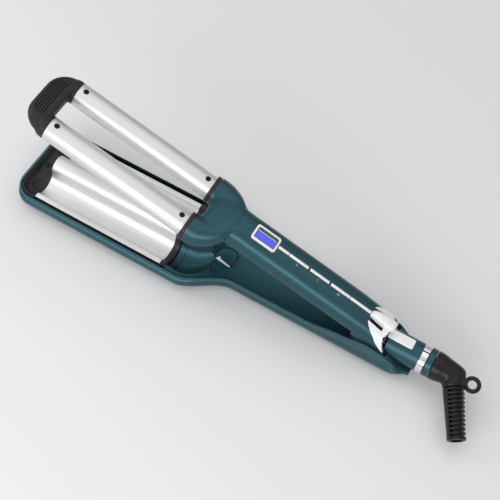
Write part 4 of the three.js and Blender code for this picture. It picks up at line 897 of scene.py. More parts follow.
BRIGHT = Finish(
    "bright_trim", (0.88, 0.87, 0.88, 1), (0.92, 0.91, 0.92, 1), (0.96, 0.96, 0.96, 1), gloss=0.24,
    metallic=0.12, shift=0.3, spread=0.08, relief=0.000004, coat=0.4, coat_gloss=0.08, wear=0.1,
)
SCREW = Finish(
    "black_screw", (0.012, 0.012, 0.013, 1), (0.03, 0.03, 0.032, 1), (0.2, 0.2, 0.2, 1), gloss=0.35,
    metallic=0.7, relief=0.00001,
)
STEEL = Finish(
    "plain_steel", (0.42, 0.43, 0.45, 1), (0.55, 0.56, 0.58, 1), (0.8, 0.8, 0.8, 1), gloss=0.3, metallic=1.0,
    brushed=True, relief=0.000006,
)
BRASS = Finish(
    "plain_brass", (0.5, 0.33, 0.11, 1), (0.62, 0.44, 0.18, 1), (0.85, 0.7, 0.4, 1), gloss=0.3, metallic=1.0,
    brushed=True, relief=0.000006,
)
CERAMIC = Finish(
    "fired_ceramic", (0.72, 0.66, 0.55, 1), (0.82, 0.78, 0.7, 1), (0.9, 0.88, 0.84, 1), gloss=0.7,
    relief=0.00003,
)
BOARD = Finish(
    "green_laminate", (0.02, 0.13, 0.04, 1), (0.03, 0.18, 0.06, 1), (0.3, 0.4, 0.2, 1), gloss=0.35, coat=0.5,
)
BLACK_GLASS = Finish(
    "black_glass", (0.008, 0.008, 0.01, 1), (0.014, 0.014, 0.018, 1), (0.05, 0.05, 0.05, 1), gloss=0.12,
    coat=1.0, coat_gloss=0.04, relief=0.000002, spread=0.04,
)
PRINT = Finish(
    "printed_sign", (0.3, 0.36, 0.38, 1), (0.36, 0.42, 0.44, 1), (0.4, 0.45, 0.47, 1), gloss=0.45,
    relief=0.000004,
)
# Near-black: paints the shade in the cap's slots, and is the ink of the printed wave signs.
MATT_BLACK = Finish(
    "matt_black", (0.003, 0.004, 0.005, 1), (0.005, 0.006, 0.007, 1), (0.01, 0.012, 0.012, 1), gloss=0.6,
    specular=0.15, relief=0.000004,
)
LIT = LitPanel("lit_display", (0.026, 0.033, 0.55, 1), (0.05, 0.068, 0.71, 1), strength=0.36)


class Workshop:
    """Holds the materials, and turns solids into finished pieces that ride on their bodies."""

    def __init__(self) -> None:
        """Builds the shader groups and starts with no materials."""
        self.groups = ShaderGroups()
        self.materials: dict[str, Material] = {}
        self.made = 0

    def material(self, finish: Finish | LitPanel) -> Material:
        """The material of a finish, built the first time that it is asked for.

        Args:
            finish: The finish.

        Returns:
            Its material.
        """
        if finish.name not in self.materials:
            self.materials[finish.name] = finish.build(self.groups)
        return self.materials[finish.name]

    def place(
        self, solid: Solid, name: str, carrier: Carrier, finish: Finish | LitPanel, slot: str,
        stands_for: Sequence[str] = (), crease: float = 32.0, worn: bool = False,
    ) -> bpy.types.Object:
        """Makes a finished piece.

        Args:
            solid: The piece's shape in drawing millimetres.
            name: The piece's name.
            carrier: The body that it rides on.
            finish: What its surface is.
            slot: The record's material slot for the piece; not used.
            stands_for: The CAD nodes that it replaces.
            crease: Edges that turn more degrees than this stay sharp.
            worn: Whether its sharp edges are marked for wear.

        Returns:
            The piece's object.
        """
        mesh = solid.mesh.copy()
        mesh.transform(carrier.placing)
        mesh.name = name
        mesh.materials.clear()
        mesh.materials.append(self.material(finish))
        mesh.shade_smooth()
        mesh.set_sharp_from_angle(angle=math.radians(crease))
        if worn:
            self._mark_wear(mesh)
        piece = bpy.data.objects.new(name, mesh)
        bpy.context.scene.collection.objects.link(piece)
        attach(piece, carrier.value)
        if stands_for:
            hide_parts(*stands_for)
        self.made += 1
        log.info("%s: %d faces on %s", name, len(mesh.polygons), carrier.value)
        return piece

    @staticmethod
    def _mark_wear(mesh: Mesh) -> None:
        """Stores how sharp the mesh is at each point, for the edge wear group.

        Args:
            mesh: The piece's mesh.
        """
        shell = bmesh.new()
        shell.from_mesh(mesh)
        layer = shell.verts.layers.float.new("edge_wear")
        for point in shell.verts:
            turns = [edge.calc_face_angle(0.0) for edge in point.link_edges if len(edge.link_faces) == 2]
            point[layer] = 1.0 if turns and max(turns) > 0.5 else 0.0
        shell.to_mesh(mesh)
        shell.free()

    def dress_cad(self, finishes: dict[str, Finish | LitPanel]) -> None:
        """Gives each CAD node that still shows the material of its slot.

        Args:
            finishes: The record's material slot to its finish.
        """
        for part in frame["record"]["subparts"]:
            node = frame["nodes"][part["node"]]
            if node.hide_render:
                continue
            node.data.materials.clear()
            node.data.materials.append(self.material(finishes[part["material_slot"]]))
            log.info("%s: CAD node dressed", node.name)


class RowOfCopies:
    """A Geometry Nodes tree that repeats a mesh along a straight line while its size changes evenly."""

    SOCKETS = {
        "Count": "Int", "Start": "Vector", "Step": "Vector", "First Size": "Float", "Last Size": "Float",
        "Material": "Material",
    }

    def __init__(self) -> None:
        """Builds the tree once."""
        self.tree = tree = bpy.data.node_groups.new("row_of_copies", "GeometryNodeTree")
        face = tree.interface
        face.new_socket("Geometry", in_out="INPUT", socket_type="NodeSocketGeometry")
        self.inputs = {
            name: face.new_socket(name, in_out="INPUT", socket_type=f"NodeSocket{kind}").identifier
            for name, kind in self.SOCKETS.items()
        }
        face.new_socket("Geometry", in_out="OUTPUT", socket_type="NodeSocketGeometry")
        given = tree.nodes.new("NodeGroupInput").outputs
        line = add_node(
            tree, "GeometryNodeMeshLine",
            {"Count": given["Count"], "Start Location": given["Start"], "Offset": given["Step"]},
            mode="OFFSET",
        )
        size = add_node(
            tree, "ShaderNodeMapRange",
            {
                "Value": add_node(tree, "GeometryNodeInputIndex").outputs[0], "From Min": 0.0,
                "From Max": add_math(tree, "SUBTRACT", given["Count"], 1.0), "To Min": given["First Size"],
                "To Max": given["Last Size"],
            },
        ).outputs[0]
        scale = add_node(tree, "ShaderNodeCombineXYZ", {"X": 1.0, "Y": size, "Z": size})
        copies = add_node(
            tree, "GeometryNodeInstanceOnPoints",
            {"Points": line.outputs[0], "Instance": given["Geometry"], "Scale": scale.outputs[0]},
        )
        real = add_node(tree, "GeometryNodeRealizeInstances", {"Geometry": copies.outputs[0]})
        dressed = add_node(
            tree, "GeometryNodeSetMaterial", {"Geometry": real.outputs[0], "Material": given["Material"]},
        )
        tree.links.new(dressed.outputs[0], tree.nodes.new("NodeGroupOutput").inputs[0])

    def build(
        self, copy: Solid, count: int, start: Sequence[float], step: Sequence[float],
        material: Material, sizes: Pair = (1.0, 1.0),
    ) -> Solid:
        """Repeats a solid.

        Args:
            copy: What is repeated, drawn about the origin.
            count: How many there are.
            start: Place of the first.
            step: Way from each to the next.
            material: What they are made of.
            sizes: Size across the X axis of the first and of the last.

        Returns:
            All the copies as one mesh.
        """
        values = {
            "Count": count, "Start": list(start), "Step": list(step), "First Size": float(sizes[0]),
            "Last Size": float(sizes[1]), "Material": material,
        }
        inputs = {self.inputs[name]: value for name, value in values.items()}
        return copy.through("NODES", {"node_group": self.tree}, inputs)


# Upper arm


@dataclass
class UpperArm:
    """Handle and fork of the upper arm, with the bright cap over the hinge."""

    shop: Workshop
    half_width: float = 15.3
    rear_half_width: float = 14.5
    top: float = 20.2
    bottom: float = 3.2
    barrel_root: float = 174.0
    barrel_radius: float = 9.5
    half_spacing: float = 19.0
    yoke_front: float = 170.25
    crease: float = 143.25
    slit_depth: float = 0.35
    parting: float = 5.4
    power: float = 2.6
    middle_share: float = 0.18
    cap_length: float = 22.8
    cap_half: float = 4.0
    cap_top: float = 25.4
    cap_wall: float = 0.72
    cap_seat: float = 18.0
    cap_slot: float = 3.0
    # Depth below the shell's surface of the near-black sheet that paints the shade in the cap's slots.
    slot_shade_depth: float = 0.5
    cap_nose: float = 0.7
    cap_band: float = 9.0
    cap_skirt: float = 7.6
    cap_skirt_half: float = 6.9
    skirt_radius: float = 14.0
    fin_inlay: float = 0.9
    fin_proud: float = 0.4
    fin_foot: float = 5.9
    lug_radius: float = 5.5
    lug_outer: float = 14.3
    lug_width: float = 2.4
    lug_root: float = 25.5
    cover_rear: float = 9.0
    bush_seat: float = 3.3
    fasteners: Pair = (134.0, 26.0)
    fastener_post: float = 3.2
    fastener_seat: float = 2.5
    stub_radius: float = 11.2
    stub_front: float = 3.2

    def stations(self) -> dict[str, list[Pair]]:
        """Half width, top and bottom of the handle's section at places from the hinge.

        Returns:
            The stations of each, under the names half, top and bottom.
        """
        c, top, low, half, spacing = self.crease, self.top, self.bottom, self.half_width, self.half_spacing
        rear = self.rear_half_width
        rows = (
            (-6, rear, top - 1.5, low), (10, rear, top - 1.3, low), (24, rear + 0.4, top - 0.6, low),
            (38, half, top, low), (c - 9, half, top, low), (c - 1.4, half + 0.4, top - 0.3, low),
            (c, half + 0.7, top - 1.5, low - 0.6), (c + 2.5, half + 3, top - 1.5, low - 2),
            (c + 7, spacing + 4.2, top - 3.1, low - 5), (c + 13, spacing + 7, top - 5.7, low - 6),
            (c + 20, spacing + 6, top - 8.4, low - 6.2), (c + 24, spacing, top - 11.4, low - 5),
        )
        return {
            name: [(row[0], row[column]) for row in rows]
            for column, name in enumerate(("half", "top", "bottom"), start=1)
        }

    def body(self, inset: float, end_inset: float = 0.0, points: int = 72, step: float = 1.5) -> Solid:
        """The handle's body, smaller all round by the inset.

        Args:
            inset: Distance inside the real surface; negative for outside.
            end_inset: How much shorter the front is.
            points: Points round each section.
            step: Distance between sections.

        Returns:
            The closed body.
        """
        shape = self.stations()
        first, last = shape["half"][0][0], shape["half"][-1][0]
        rings = []
        for at in spread(first, last, step):
            half, top, bottom = (flowing(shape[key], at) for key in ("half", "top", "bottom"))
            middle = bottom + (top - bottom) * self.middle_share
            x = -min(at, last - end_inset)
            ring = []
            for angle in circle(points):
                c, s = math.cos(angle), math.sin(angle)
                rise = (top - middle if s > 0 else middle - bottom) - inset
                y = (half - inset) * signed_power(c, 2 / self.power)
                ring.append(Vector((x, y, middle + rise * signed_power(s, 2 / self.power))))
            if not rings or (ring[0] - rings[-1][0]).length > 0.05:
                rings.append(ring)
        return Solid.loft(rings)

    def socket(self, side: int, growth: float, ahead: float = 0.0, points: int = 64) -> Solid:
        """One barrel socket, blended back into the handle.

        Args:
            side: -1 for near, 1 for far.
            growth: How much wider than the real socket it is.
            ahead: How far its front is drawn out; negative to draw it back.
            points: Points round each section.

        Returns:
            The closed socket.
        """
        c, s = self.crease, self.half_spacing
        rows = (
            (c - 3.5, s - 12, 10.5, 7.0), (c + 1, s - 10.5, 7.6, 9.8), (c + 6, s - 7, 4.4, 11.8),
            (c + 12, s - 3.6, 2.0, 12.4), (c + 19, s - 0.7, 0.4, 12.3), (self.yoke_front, s, 0.0, 11.9),
        )
        ys, zs, radii = ([(r[0], r[i]) for r in rows] for i in (1, 2, 3))
        places = spread(rows[0][0], self.yoke_front, 1.5)
        rings = []
        for at in places:
            reach = flowing(radii, at) + growth
            x = -at - (ahead if at == places[-1] else 0)
            y, z = side * flowing(ys, at), flowing(zs, at)
            rings.append([
                Vector((x, y + reach * math.cos(t), z + reach * math.sin(t))) for t in circle(points)
            ])
        return Solid.loft(rings)

    def outer(self) -> Solid:
        """The whole outer shape, with the sockets melted into the handle.

        Returns:
            The outer shape, with its slit along the crease.
        """
        rough = self.body(0).join(self.socket(-1, 0, 4), self.socket(1, 0, 4))

        def share(points: np.ndarray) -> np.ndarray:
            """Full easing in the fork, none along the handle."""
            at = np.clip((-points[:, 0] - self.crease - 2.5) / 5, 0, 1)
            return 0.6 * at * at * (3 - 2 * at)

        melted = rough.melted(0.62, 26, share)
        slit = slab_x(-self.crease - 0.3, -self.crease + 0.15)
        around, within = self.body(-1.5, step=0.75), self.body(self.slit_depth, step=0.75)
        melted = melted.cut(slit.common(around).cut(within))
        return melted.cut(slab_x(-self.yoke_front - REACH, -self.yoke_front))

    def hollow(self) -> Solid:
        """The room inside both shells."""
        body = self.body(WALL, WALL, 40, 4)
        return body.join(self.socket(-1, -WALL, -WALL, 32), self.socket(1, -WALL, -WALL, 32))

    def above_parting(self, offset: float) -> Solid:
        """Everything above the line where the two shells meet.

        Args:
            offset: How far the line is raised.

        Returns:
            The region as a solid.
        """
        drop = ((0, self.parting), (14, 0))
        line = [(-self.crease - d, eased(drop, d) + offset) for d in spread(0, drop[-1][0], 1)]
        far = -self.barrel_root - 1
        outline = [(REACH, self.parting + offset), *line, (far, offset), (far, REACH), (REACH, REACH)]
        return Solid.prism(outline, -REACH, REACH, Axis.Y)

    def behind_rear(self, offset: float = 0.0) -> Solid:
        """Everything behind the slanting rear end of the upper shell.

        Args:
            offset: How far back it is moved.

        Returns:
            The region as a solid.
        """
        places = ((-1.8, REACH), (-1.8, 21.6), (-5.6, 17.0), (2.0, 6.2), (2.0, -REACH))
        line = [(x + offset, z) for x, z in places]
        return Solid.prism([*line, (REACH, -REACH), (REACH, REACH)], -REACH, REACH, Axis.Y)

    def trim_region(self, growth: float, slotted: bool = True) -> Solid:
        """What the cap's fins and the band that joins them cover.

        Args:
            growth: How much wider than the real trim it is.
            slotted: Whether the open slots between the hood and the fins are left out.

        Returns:
            The region as a solid.
        """
        c, foot = self.cap_length, self.fin_foot
        fin = [(-c + 1, REACH), (-c + 1, self.top - 1), (-16.8, 17), (-12, 14.6), (-7.5, 11.2), (1.6, foot)]
        fin += [(REACH, foot), (REACH, REACH)]
        fins = Solid.prism([(x - growth, z - growth) for x, z in fin], -REACH, REACH, Axis.Y)
        if not slotted:
            return fins
        front = self.cap_half * self.cap_nose + self.cap_slot - growth
        back = self.cap_half + self.cap_slot - growth
        nose, band = -c - 1, -self.cap_band - growth
        slot = Solid.prism([(nose, front), (nose, -front), (band, -back), (band, back)], 0, REACH, Axis.Z)
        return fins.cut(slot)

    def cap_dome(self, growth: float, step: float = 0.7) -> Solid:
        """The cap's rounded hood, or the seat that it lies in.

        Args:
            growth: How much wider than the real hood it is.
            step: Distance between sections.

        Returns:
            The closed hood.
        """
        rows = (
            (0, self.cap_nose * 0.6, 0.35), (0.8, self.cap_nose * 0.85, 0.55), (2.5, self.cap_nose, 0.74),
            (5.5, 0.8, 0.9), (9.5, 0.92, 0.98), (14, 1.0, 1.0), (18.6, 1.02, 0.98), (20.2, 1.0, 0.92),
            (21.2, 0.92, 0.8),
        )
        widths, rises = ([(r[0], r[i]) for r in rows] for i in (1, 2))
        rings = []
        for back in [*spread(0, 18.6, step), *spread(18.9, rows[-1][0], 0.25)]:
            half = self.cap_half * flowing(widths, back) + growth
            low = self.cap_seat - growth
            high = self.cap_seat + (self.cap_top - self.cap_seat) * flowing(rises, back) + growth
            x = -self.cap_length + back - (growth if back == 0 else 0)
            ring = [Vector((x, -half, low)), Vector((x, half, low))]
            for angle in spread(0, math.pi, math.pi / 28):
                lift = (high - low) * (self.cap_wall + (1 - self.cap_wall) * max(0.0, math.sin(angle)) ** 0.6)
                ring.append(Vector((x, half * math.cos(angle), low + lift)))
            rings.append(ring)
        return Solid.loft(rings)

    def skirt(self, growth: float) -> Solid:
        """The skirt under the cap that closes the handle's rear end, or its seat.

        Args:
            growth: How much wider than the real skirt it is.

        Returns:
            The skirt.
        """
        half = self.cap_skirt_half + growth
        bar = Solid.block((-self.cap_skirt - growth, -half, 0), (REACH, half, self.cap_seat + 1))
        return bar.cut(rod_y(-REACH, REACH, self.skirt_radius - growth, sides=96))

    def stub_path(self) -> list[Solid]:
        """Room for the rear stub, at each end of the swing and halfway.

        Returns:
            One rod for each place of the swing.
        """
        start = self.stub_front - 2 * GAP
        made = []
        for share in (0.0, 0.5, 1.0):
            c, s = math.cos(OPEN_ANGLE * share), math.sin(OPEN_ANGLE * share)
            front, back = (start * c, 0, start * s), (REACH * c, 0, REACH * s)
            made.append(Solid.rod(front, back, self.stub_radius + 2 * GAP, 64))
        return made

    def barrel_bores(self) -> list[Solid]:
        """The holes in the sockets that hold the barrels."""
        front, back = -self.barrel_root - 1, -self.yoke_front + 6
        return [rod_x(front, back, self.barrel_radius + GAP, side * self.half_spacing) for _, side in SIDES]

    def build(self, seats: Sequence[Solid]) -> None:
        """Makes both shells and the cap.

        Args:
            seats: Cutters for the display, the strip and the buttons.
        """
        outer, hollow = self.outer(), self.hollow()
        shell = outer.cut(hollow)
        inlay = self.body(-REACH / 8, 0, 40, 4).cut(self.body(self.fin_inlay + GAP / 2, step=3))
        top = shell.common(self.above_parting(GAP / 2)).cut(self.behind_rear(), *seats)
        top = top.cut(inlay.common(self.trim_region(GAP / 2, False)), self.cap_dome(GAP), self.skirt(GAP))
        top = top.cut(*self.barrel_bores())
        top = top.cut(rod_y(-REACH, REACH, self.lug_radius + GAP), *self.stub_path())
        self.shop.place(
            top, "upper_shell", Carrier.UPPER_ARM, TEAL, "teal_shell", ["upper_top_shell"], worn=True,
        )
        self.build_cover(shell)
        self.build_cap()

    def build_cover(self, shell: Solid) -> None:
        """Makes the bottom cover with its two lugs from the whole shell.

        Args:
            shell: The hollow outer shape.
        """
        cover = shell.cut(self.above_parting(-GAP / 2), slab_x(-self.cover_rear, REACH))
        inner = self.lug_outer - self.lug_width
        edge, root = self.parting - GAP, -self.lug_root
        arm = [(root, 0.4), (-14, -2.2), (-4, -3.8), (self.lug_radius, 0), (3, edge), (root, edge)]
        for _, side in SIDES:
            low, high = sorted((side * inner, side * self.lug_outer))
            cover = cover.join(rod_y(low, high, self.lug_radius), Solid.prism(arm, low, high, Axis.Y))
        cover = cover.cut(*self.barrel_bores(), rod_y(-REACH, REACH, self.bush_seat))
        for at in self.fasteners:
            cover = cover.join(rod_z(self.bottom + 1, self.bottom + 6, self.fastener_post, -at))
            recess = rod_z(0, self.bottom + 1.3, self.fastener_seat, -at)
            cover = cover.cut(rod_z(0, REACH, SCREW_HOLE, -at), recess)
        self.shop.place(
            cover, "upper_cover", Carrier.UPPER_ARM, TEAL_INNER, "teal_inner", ["upper_bottom_cover"],
            worn=True,
        )

    def build_cap(self) -> None:
        """Makes the bright cap with its hood and fins, and the near-black sheets in the slots beside the hood
        that paint the shade falling in them.
        """
        skin = self.body(-self.fin_proud, 0, 96, 1.5).cut(self.body(self.fin_inlay, 0, 96, 3))
        cap = skin.common(self.trim_region(0)).join(self.cap_dome(0), self.skirt(0))
        cap = cap.cut(self.behind_rear())
        self.shop.place(cap, "rear_cap", Carrier.UPPER_ARM, BRIGHT, "bright_trim", ["hinge_cap"])
        # Painted shade: a near-black sheet in each slot beside the hood stands in for the shade that falls
        # into the slot.
        below = self.body(self.fin_inlay + GAP / 2 - 0.03, 0, 96, 3)
        sheet = self.body(self.slot_shade_depth, 0, 96, 1.5).cut(below)
        slots = self.trim_region(0, False).cut(self.trim_region(0.1))
        floor = sheet.common(slots).cut(self.cap_dome(0.05))
        self.shop.place(floor, "cap_slot_painted_shade", Carrier.UPPER_ARM, MATT_BLACK, "black_plastic")


@dataclass
class Controls:
    """Display, strip and push buttons along the top of the handle."""

    shop: Workshop
    top: float = 20.2
    centre: float = 118.7
    length: float = 21.2
    width: float = 13.4
    corner: float = 2.0
    rim: float = 1.7
    surround: float = 0.35
    proud: float = 0.5
    depth: float = 1.7
    strip_width: float = 2.2
    strip_depth: float = 1.4
    strip_rounding: float = 0.2
    button_length: float = 17.3
    button_pitch: float = 18.9
    first_button: float = 88.9
    button_height: float = 4.0
    flange_half: float = 2.3
    lit_share: float = 0.42
    cap_length: float = 22.8
    sign_size: float = 2.1
    sign_pen: float = 0.42
    sign_side: float = -3.6

    def button_centre(self, number: int) -> float:
        """Distance of a button's middle from the hinge."""
        return self.first_button - number * self.button_pitch

    def spans(self) -> list[Pair]:
        """Where the strip's two fixed ends run from and to."""
        clear = self.button_length / 2 + 2 * GAP
        return [
            (self.centre - self.length / 2 - 2 * GAP, self.button_centre(0) + clear),
            (self.button_centre(2) - clear, self.cap_length + GAP),
        ]

    def seats(self) -> list[Solid]:
        """Cutters for everything that sits in the top shell.

        Returns:
            Cutters for the display, the buttons and the strip's fixed ends.
        """
        floor = self.top - self.depth + self.proud - GAP / 2
        opening = rounded_outline(
            self.length - 2 * self.rim + GAP, self.width - 2 * self.rim + GAP, 1, -self.centre,
        )
        pocket = rounded_outline(self.length + 2 * GAP, self.width + 2 * GAP, self.corner + GAP, -self.centre)
        made = [Solid.prism(opening, 0, REACH, Axis.Z), Solid.prism(pocket, floor, REACH, Axis.Z)]
        across = self.strip_width / 2 + GAP
        for number in range(3):
            middle, half = -self.button_centre(number), self.button_length / 2 + GAP
            made.append(Solid.block((middle - half, -across, 0), (middle + half, across, REACH)))
        for start, end in self.spans():
            low = self.top + self.proud - self.strip_depth - GAP / 2
            made.append(Solid.block((-start - GAP / 2, -across, low), (-end + GAP / 2, across, REACH)))
        return made

    def build(self) -> None:
        """Makes the display, the strip, the buttons and their signs."""
        self.build_display()
        across, high = self.strip_width / 2, self.top + self.proud
        for (start, end), place in zip(self.spans(), ("front", "rear")):
            reach = (0.0, 0.2) if place == "front" else (0.2, 0.0)
            bar = Solid.block(
                (-start - reach[0], -across, high - self.strip_depth), (-end + reach[1], across, high),
                self.strip_rounding,
            )
            name = f"strip_inlay_{place}"
            self.shop.place(bar, f"strip_{place}", Carrier.UPPER_ARM, BRIGHT, "chrome_trim", [name])
        foot = high - self.button_height
        for number in range(3):
            middle, half = -self.button_centre(number), self.button_length / 2
            low, far = (middle - half, -across, foot), (middle + half, across, high)
            flange = Solid.block(
                (middle - half + 1, -self.flange_half, foot - 1.2),
                (middle + half - 1, self.flange_half, foot + 0.4), self.strip_rounding,
            )
            bar = Solid.block(low, far, self.strip_rounding).join(flange, rod_z(foot - 2, foot, 1.5, middle))
            carrier = Carrier(f"button_{number + 1}")
            self.shop.place(bar, f"push_bar_{number + 1}", carrier, BRIGHT, "chrome_trim", [carrier.value])
            if number > 0:
                gap = middle - self.button_pitch / 2
                reach = (self.button_pitch - self.button_length) / 2 - 0.05
                divider = Solid.block(
                    (gap - reach, -across, self.top - 0.6), (gap + reach, across, self.top + 0.2), 0.1,
                )
                self.shop.place(divider, f"divider_{number}", Carrier.UPPER_ARM, BLACK, "black_plastic")
        self.build_signs()

    def build_display(self) -> None:
        """Makes the bezel, the lit pane, its dark band and the pale line between them."""
        low = self.top + self.proud - self.depth
        high = low + self.depth
        levels = ((low, 0.0), (high - 0.45, 0.0), (high - 0.12, 0.12), (high, 0.45))
        plate = rounded_plate(levels, self.length, self.width, self.corner, -self.centre)
        opening = rounded_outline(self.length - 2 * self.rim, self.width - 2 * self.rim, 1, -self.centre)
        bezel = plate.cut(Solid.prism(opening, 0, REACH, Axis.Z))
        self.shop.place(bezel, "bezel", Carrier.UPPER_ARM, BRIGHT, "chrome_trim", ["display_bezel"])
        size = 2 * self.rim + 2 * GAP
        outline = rounded_outline(self.length - size, self.width - size, 0.8, -self.centre)
        face = high - 0.4
        pane = Solid.prism(outline, face - 1.3, face, Axis.Z)
        self.shop.place(
            pane, "display_pane", Carrier.UPPER_ARM, BLACK_GLASS, "display_glass", ["display_window"],
        )
        reach, half = (self.length - size) / 2 - self.surround, (self.width - size) / 2
        line = half * self.lit_share
        for name, start, end, finish in (
            ("display_lit", self.surround - half, line, LIT),
            ("display_line", line + 0.05, line + 0.4, CHROME),
        ):
            field = rounded_outline(2 * reach, end - start, 0.12, -self.centre, (start + end) / 2, 3)
            part = Solid.prism(field, face - 0.3, face + 0.04, Axis.Z)
            self.shop.place(part, name, Carrier.UPPER_ARM, finish, "display_glass")

    def build_signs(self) -> None:
        """Prints a plain plus, minus and power sign beside the buttons."""
        s, y = self.sign_size, self.sign_side
        low, high = self.top - 0.3, self.top + 0.03

        def bar(x: float, length: float, width: float, turned: bool = False) -> Solid:
            """One printed stroke along or across the handle."""
            dx, dy = (width / 2, length / 2) if turned else (length / 2, width / 2)
            return Solid.block((x - dx, y - dy, low), (x + dx, y + dy, high))

        first, second, third = (-self.button_centre(number) for number in range(3))
        pen = self.sign_pen
        plus = bar(first, s, pen).join(bar(first, s, pen, True))
        minus = bar(second, s, pen, True)
        ring = rod_z(low, high, s * 0.55, third, y).cut(rod_z(low - 1, high + 1, s * 0.36, third, y))
        ring = ring.cut(Solid.block((third - 2, y - 0.35, low - 1), (third, y + 0.35, high + 1)))
        power = ring.join(Solid.block((third - s * 0.6, y - 0.17, low), (third - 0.1, y + 0.17, high)))
        for name, sign in (("plus_sign", plus), ("minus_sign", minus), ("power_sign", power)):
            self.shop.place(sign, name, Carrier.UPPER_ARM, PRINT, "bright_trim")


@dataclass
class Barrels:
    """The two heated tubes with their collars, screws and the bridge at their tips."""

    shop: Workshop
    row: RowOfCopies
    radius: float = 9.5
    wall: float = 1.3
    half_spacing: float = 19.0
    root: float = 174.0
    length: float = 123.0
    socket: float = 7.5
    collar_width: float = 3.6
    collar_proud: float = 1.9
    screw_setback: float = 5.5
    screw_radius: float = 2.1
    bridge_length: float = 22.3
    bridge_half: float = 27.4
    bridge_cap: float = 8.6
    bridge_top: float = 8.4
    bridge_bottom: float = -4.0
    bridge_power: float = 3.4
    plug_length: float = 7.6
    grooves: int = 5
    groove_setback: float = 4.2
    groove_pitch: float = 2.2
    groove_half: float = 17.6
    groove_depth: float = 1.0
    groove_radius: float = 0.52

    @property
    def tip(self) -> float:
        """Distance of the barrels' tips from the hinge."""
        return self.root + self.length

    def build(self) -> None:
        """Makes the tubes, collars, screws and bridge."""
        screws = (self.root + self.screw_setback, self.tip - self.screw_setback)
        for name, side in SIDES:
            y = side * self.half_spacing
            back = -self.root + self.socket
            profile = [(-self.tip, 0), (-self.tip, self.radius - 0.5), (-self.tip + 0.15, self.radius - 0.15)]
            profile += [(-self.tip + 0.5, self.radius), (back, self.radius), (back, 0)]
            tube = Solid.turned(profile, 96).moved(Matrix.Translation((0, y, 0)))
            tube = tube.cut(rod_x(-self.tip - 1, back + 1, self.radius - self.wall, y, 0, 72))
            for at in screws:
                tube = tube.cut(rod_z(0, REACH, self.screw_radius + GAP / 2, -at, y))
            self.shop.place(tube, f"tube_{name}", Carrier.UPPER_ARM, SATIN, "satin_metal", [f"barrel_{name}"])
            self.build_collar(name, y)
        self.build_screws(screws)
        self.build_bridge()

    def build_collar(self, name: str, y: float) -> None:
        """Makes the black ring between a barrel and the fork.

        Args:
            name: The barrel's name, near or far.
            y: Its place across the arm.
        """
        low, radius = -self.root, self.radius + self.collar_proud
        high = low + self.collar_width - GAP / 2
        profile = [(low, 0), (low, radius - 0.7), (low + 0.25, radius - 0.2), (low + 0.8, radius)]
        profile += [(high - 0.3, radius), (high, radius - 0.3), (high, 0)]
        ring = Solid.turned(profile, 96).moved(Matrix.Translation((0, y, 0)))
        ring = ring.cut(rod_x(low - 1, high + 1, self.radius + GAP, y, 0, 96))
        node = f"barrel_collar_{name}"
        self.shop.place(ring, f"collar_{name}", Carrier.UPPER_ARM, COLLAR, "collar_plastic", [node])

    def build_screws(self, places: Pair) -> None:
        """Makes the four small screws, two in each barrel, with a cross recess in each head.

        Args:
            places: How far the root's and the tip's screws are from the hinge.
        """
        seat = self.radius - self.wall + 0.1
        head = rod_z(seat, self.radius - 0.2, self.screw_radius)
        head = head.join(rod_z(self.radius - 4, self.radius - 1, 0.9))
        for size in ((0.26, 1.25), (1.25, 0.26)):
            head = head.cut(Solid.block((-size[0], -size[1], self.radius - 0.75), (size[0], size[1], REACH)))
        material, across = self.shop.material(SCREW), self.half_spacing
        for end, at in zip(("root", "tip"), places):
            pair = self.row.build(head, 2, (-at, -across, 0), (0, 2 * across, 0), material)
            nodes = [f"barrel_screw_{name}_{end}" for name, _ in SIDES]
            self.shop.place(pair, f"screws_{end}", Carrier.UPPER_ARM, SCREW, "black_screw", nodes)

    def build_bridge(self) -> None:
        """Makes the black bridge with its curved grip grooves."""
        rows = (
            (2.8, 1.0, 1.0, 1.0), (6.5, 0.99, 1.02, 1.0), (11, 0.95, 0.97, 0.98), (15.5, 0.85, 0.85, 0.9),
            (19, 0.72, 0.7, 0.75), (21.2, 0.58, 0.5, 0.55), (self.bridge_length, 0.46, 0.26, 0.3),
        )
        halves, tops, bottoms = ([(r[0], r[i]) for r in rows] for i in (1, 2, 3))
        rings = []
        for at in spread(rows[0][0], self.bridge_length, 0.6):
            ring = []
            half = self.bridge_half * flowing(halves, at)
            top, bottom = self.bridge_top * flowing(tops, at), -self.bridge_bottom * flowing(bottoms, at)
            for angle in circle(96):
                y = signed_power(math.cos(angle), 2 / self.bridge_power)
                z = signed_power(math.sin(angle), 2 / self.bridge_power)
                ring.append(Vector((-self.tip - at, half * y, (top if z > 0 else bottom) * z)))
            rings.append(ring)
        caps = [self.barrel_cap(side * self.half_spacing) for _, side in SIDES]
        bridge = Solid.loft(rings).join(*caps).melted(0.5, 34, self.bridge_easing)
        bridge = bridge.cut(slab_x(-self.tip - GAP, 0))
        for _, side in SIDES:
            y = side * self.half_spacing
            plug = rod_x(-self.tip - 1, -self.tip + self.plug_length, self.radius - self.wall - GAP, y)
            hole = rod_z(self.radius - 4.3, REACH, SCREW_HOLE, -self.tip + self.screw_setback, y)
            bridge = bridge.join(plug).cut(hole)
        for number in range(self.grooves):
            at = self.bridge_length - self.groove_setback - number * self.groove_pitch
            floor = self.bridge_top * flowing(tops, at) - self.groove_depth
            reach = self.groove_half - (1.6 if number == 0 else 0)
            bridge = bridge.cut(self.groove(self.tip + at, floor, reach))
        self.shop.place(
            bridge, "bridge", Carrier.UPPER_ARM, BLACK, "black_plastic", ["tip_bridge"], worn=True,
        )

    def bridge_easing(self, points: np.ndarray) -> np.ndarray:
        """How much the bridge's corners are eased: none where it meets the barrels, more ahead of them."""
        ahead = np.clip((-points[:, 0] - self.tip - 1.0) / 4.0, 0, 1)
        return 0.5 * ahead

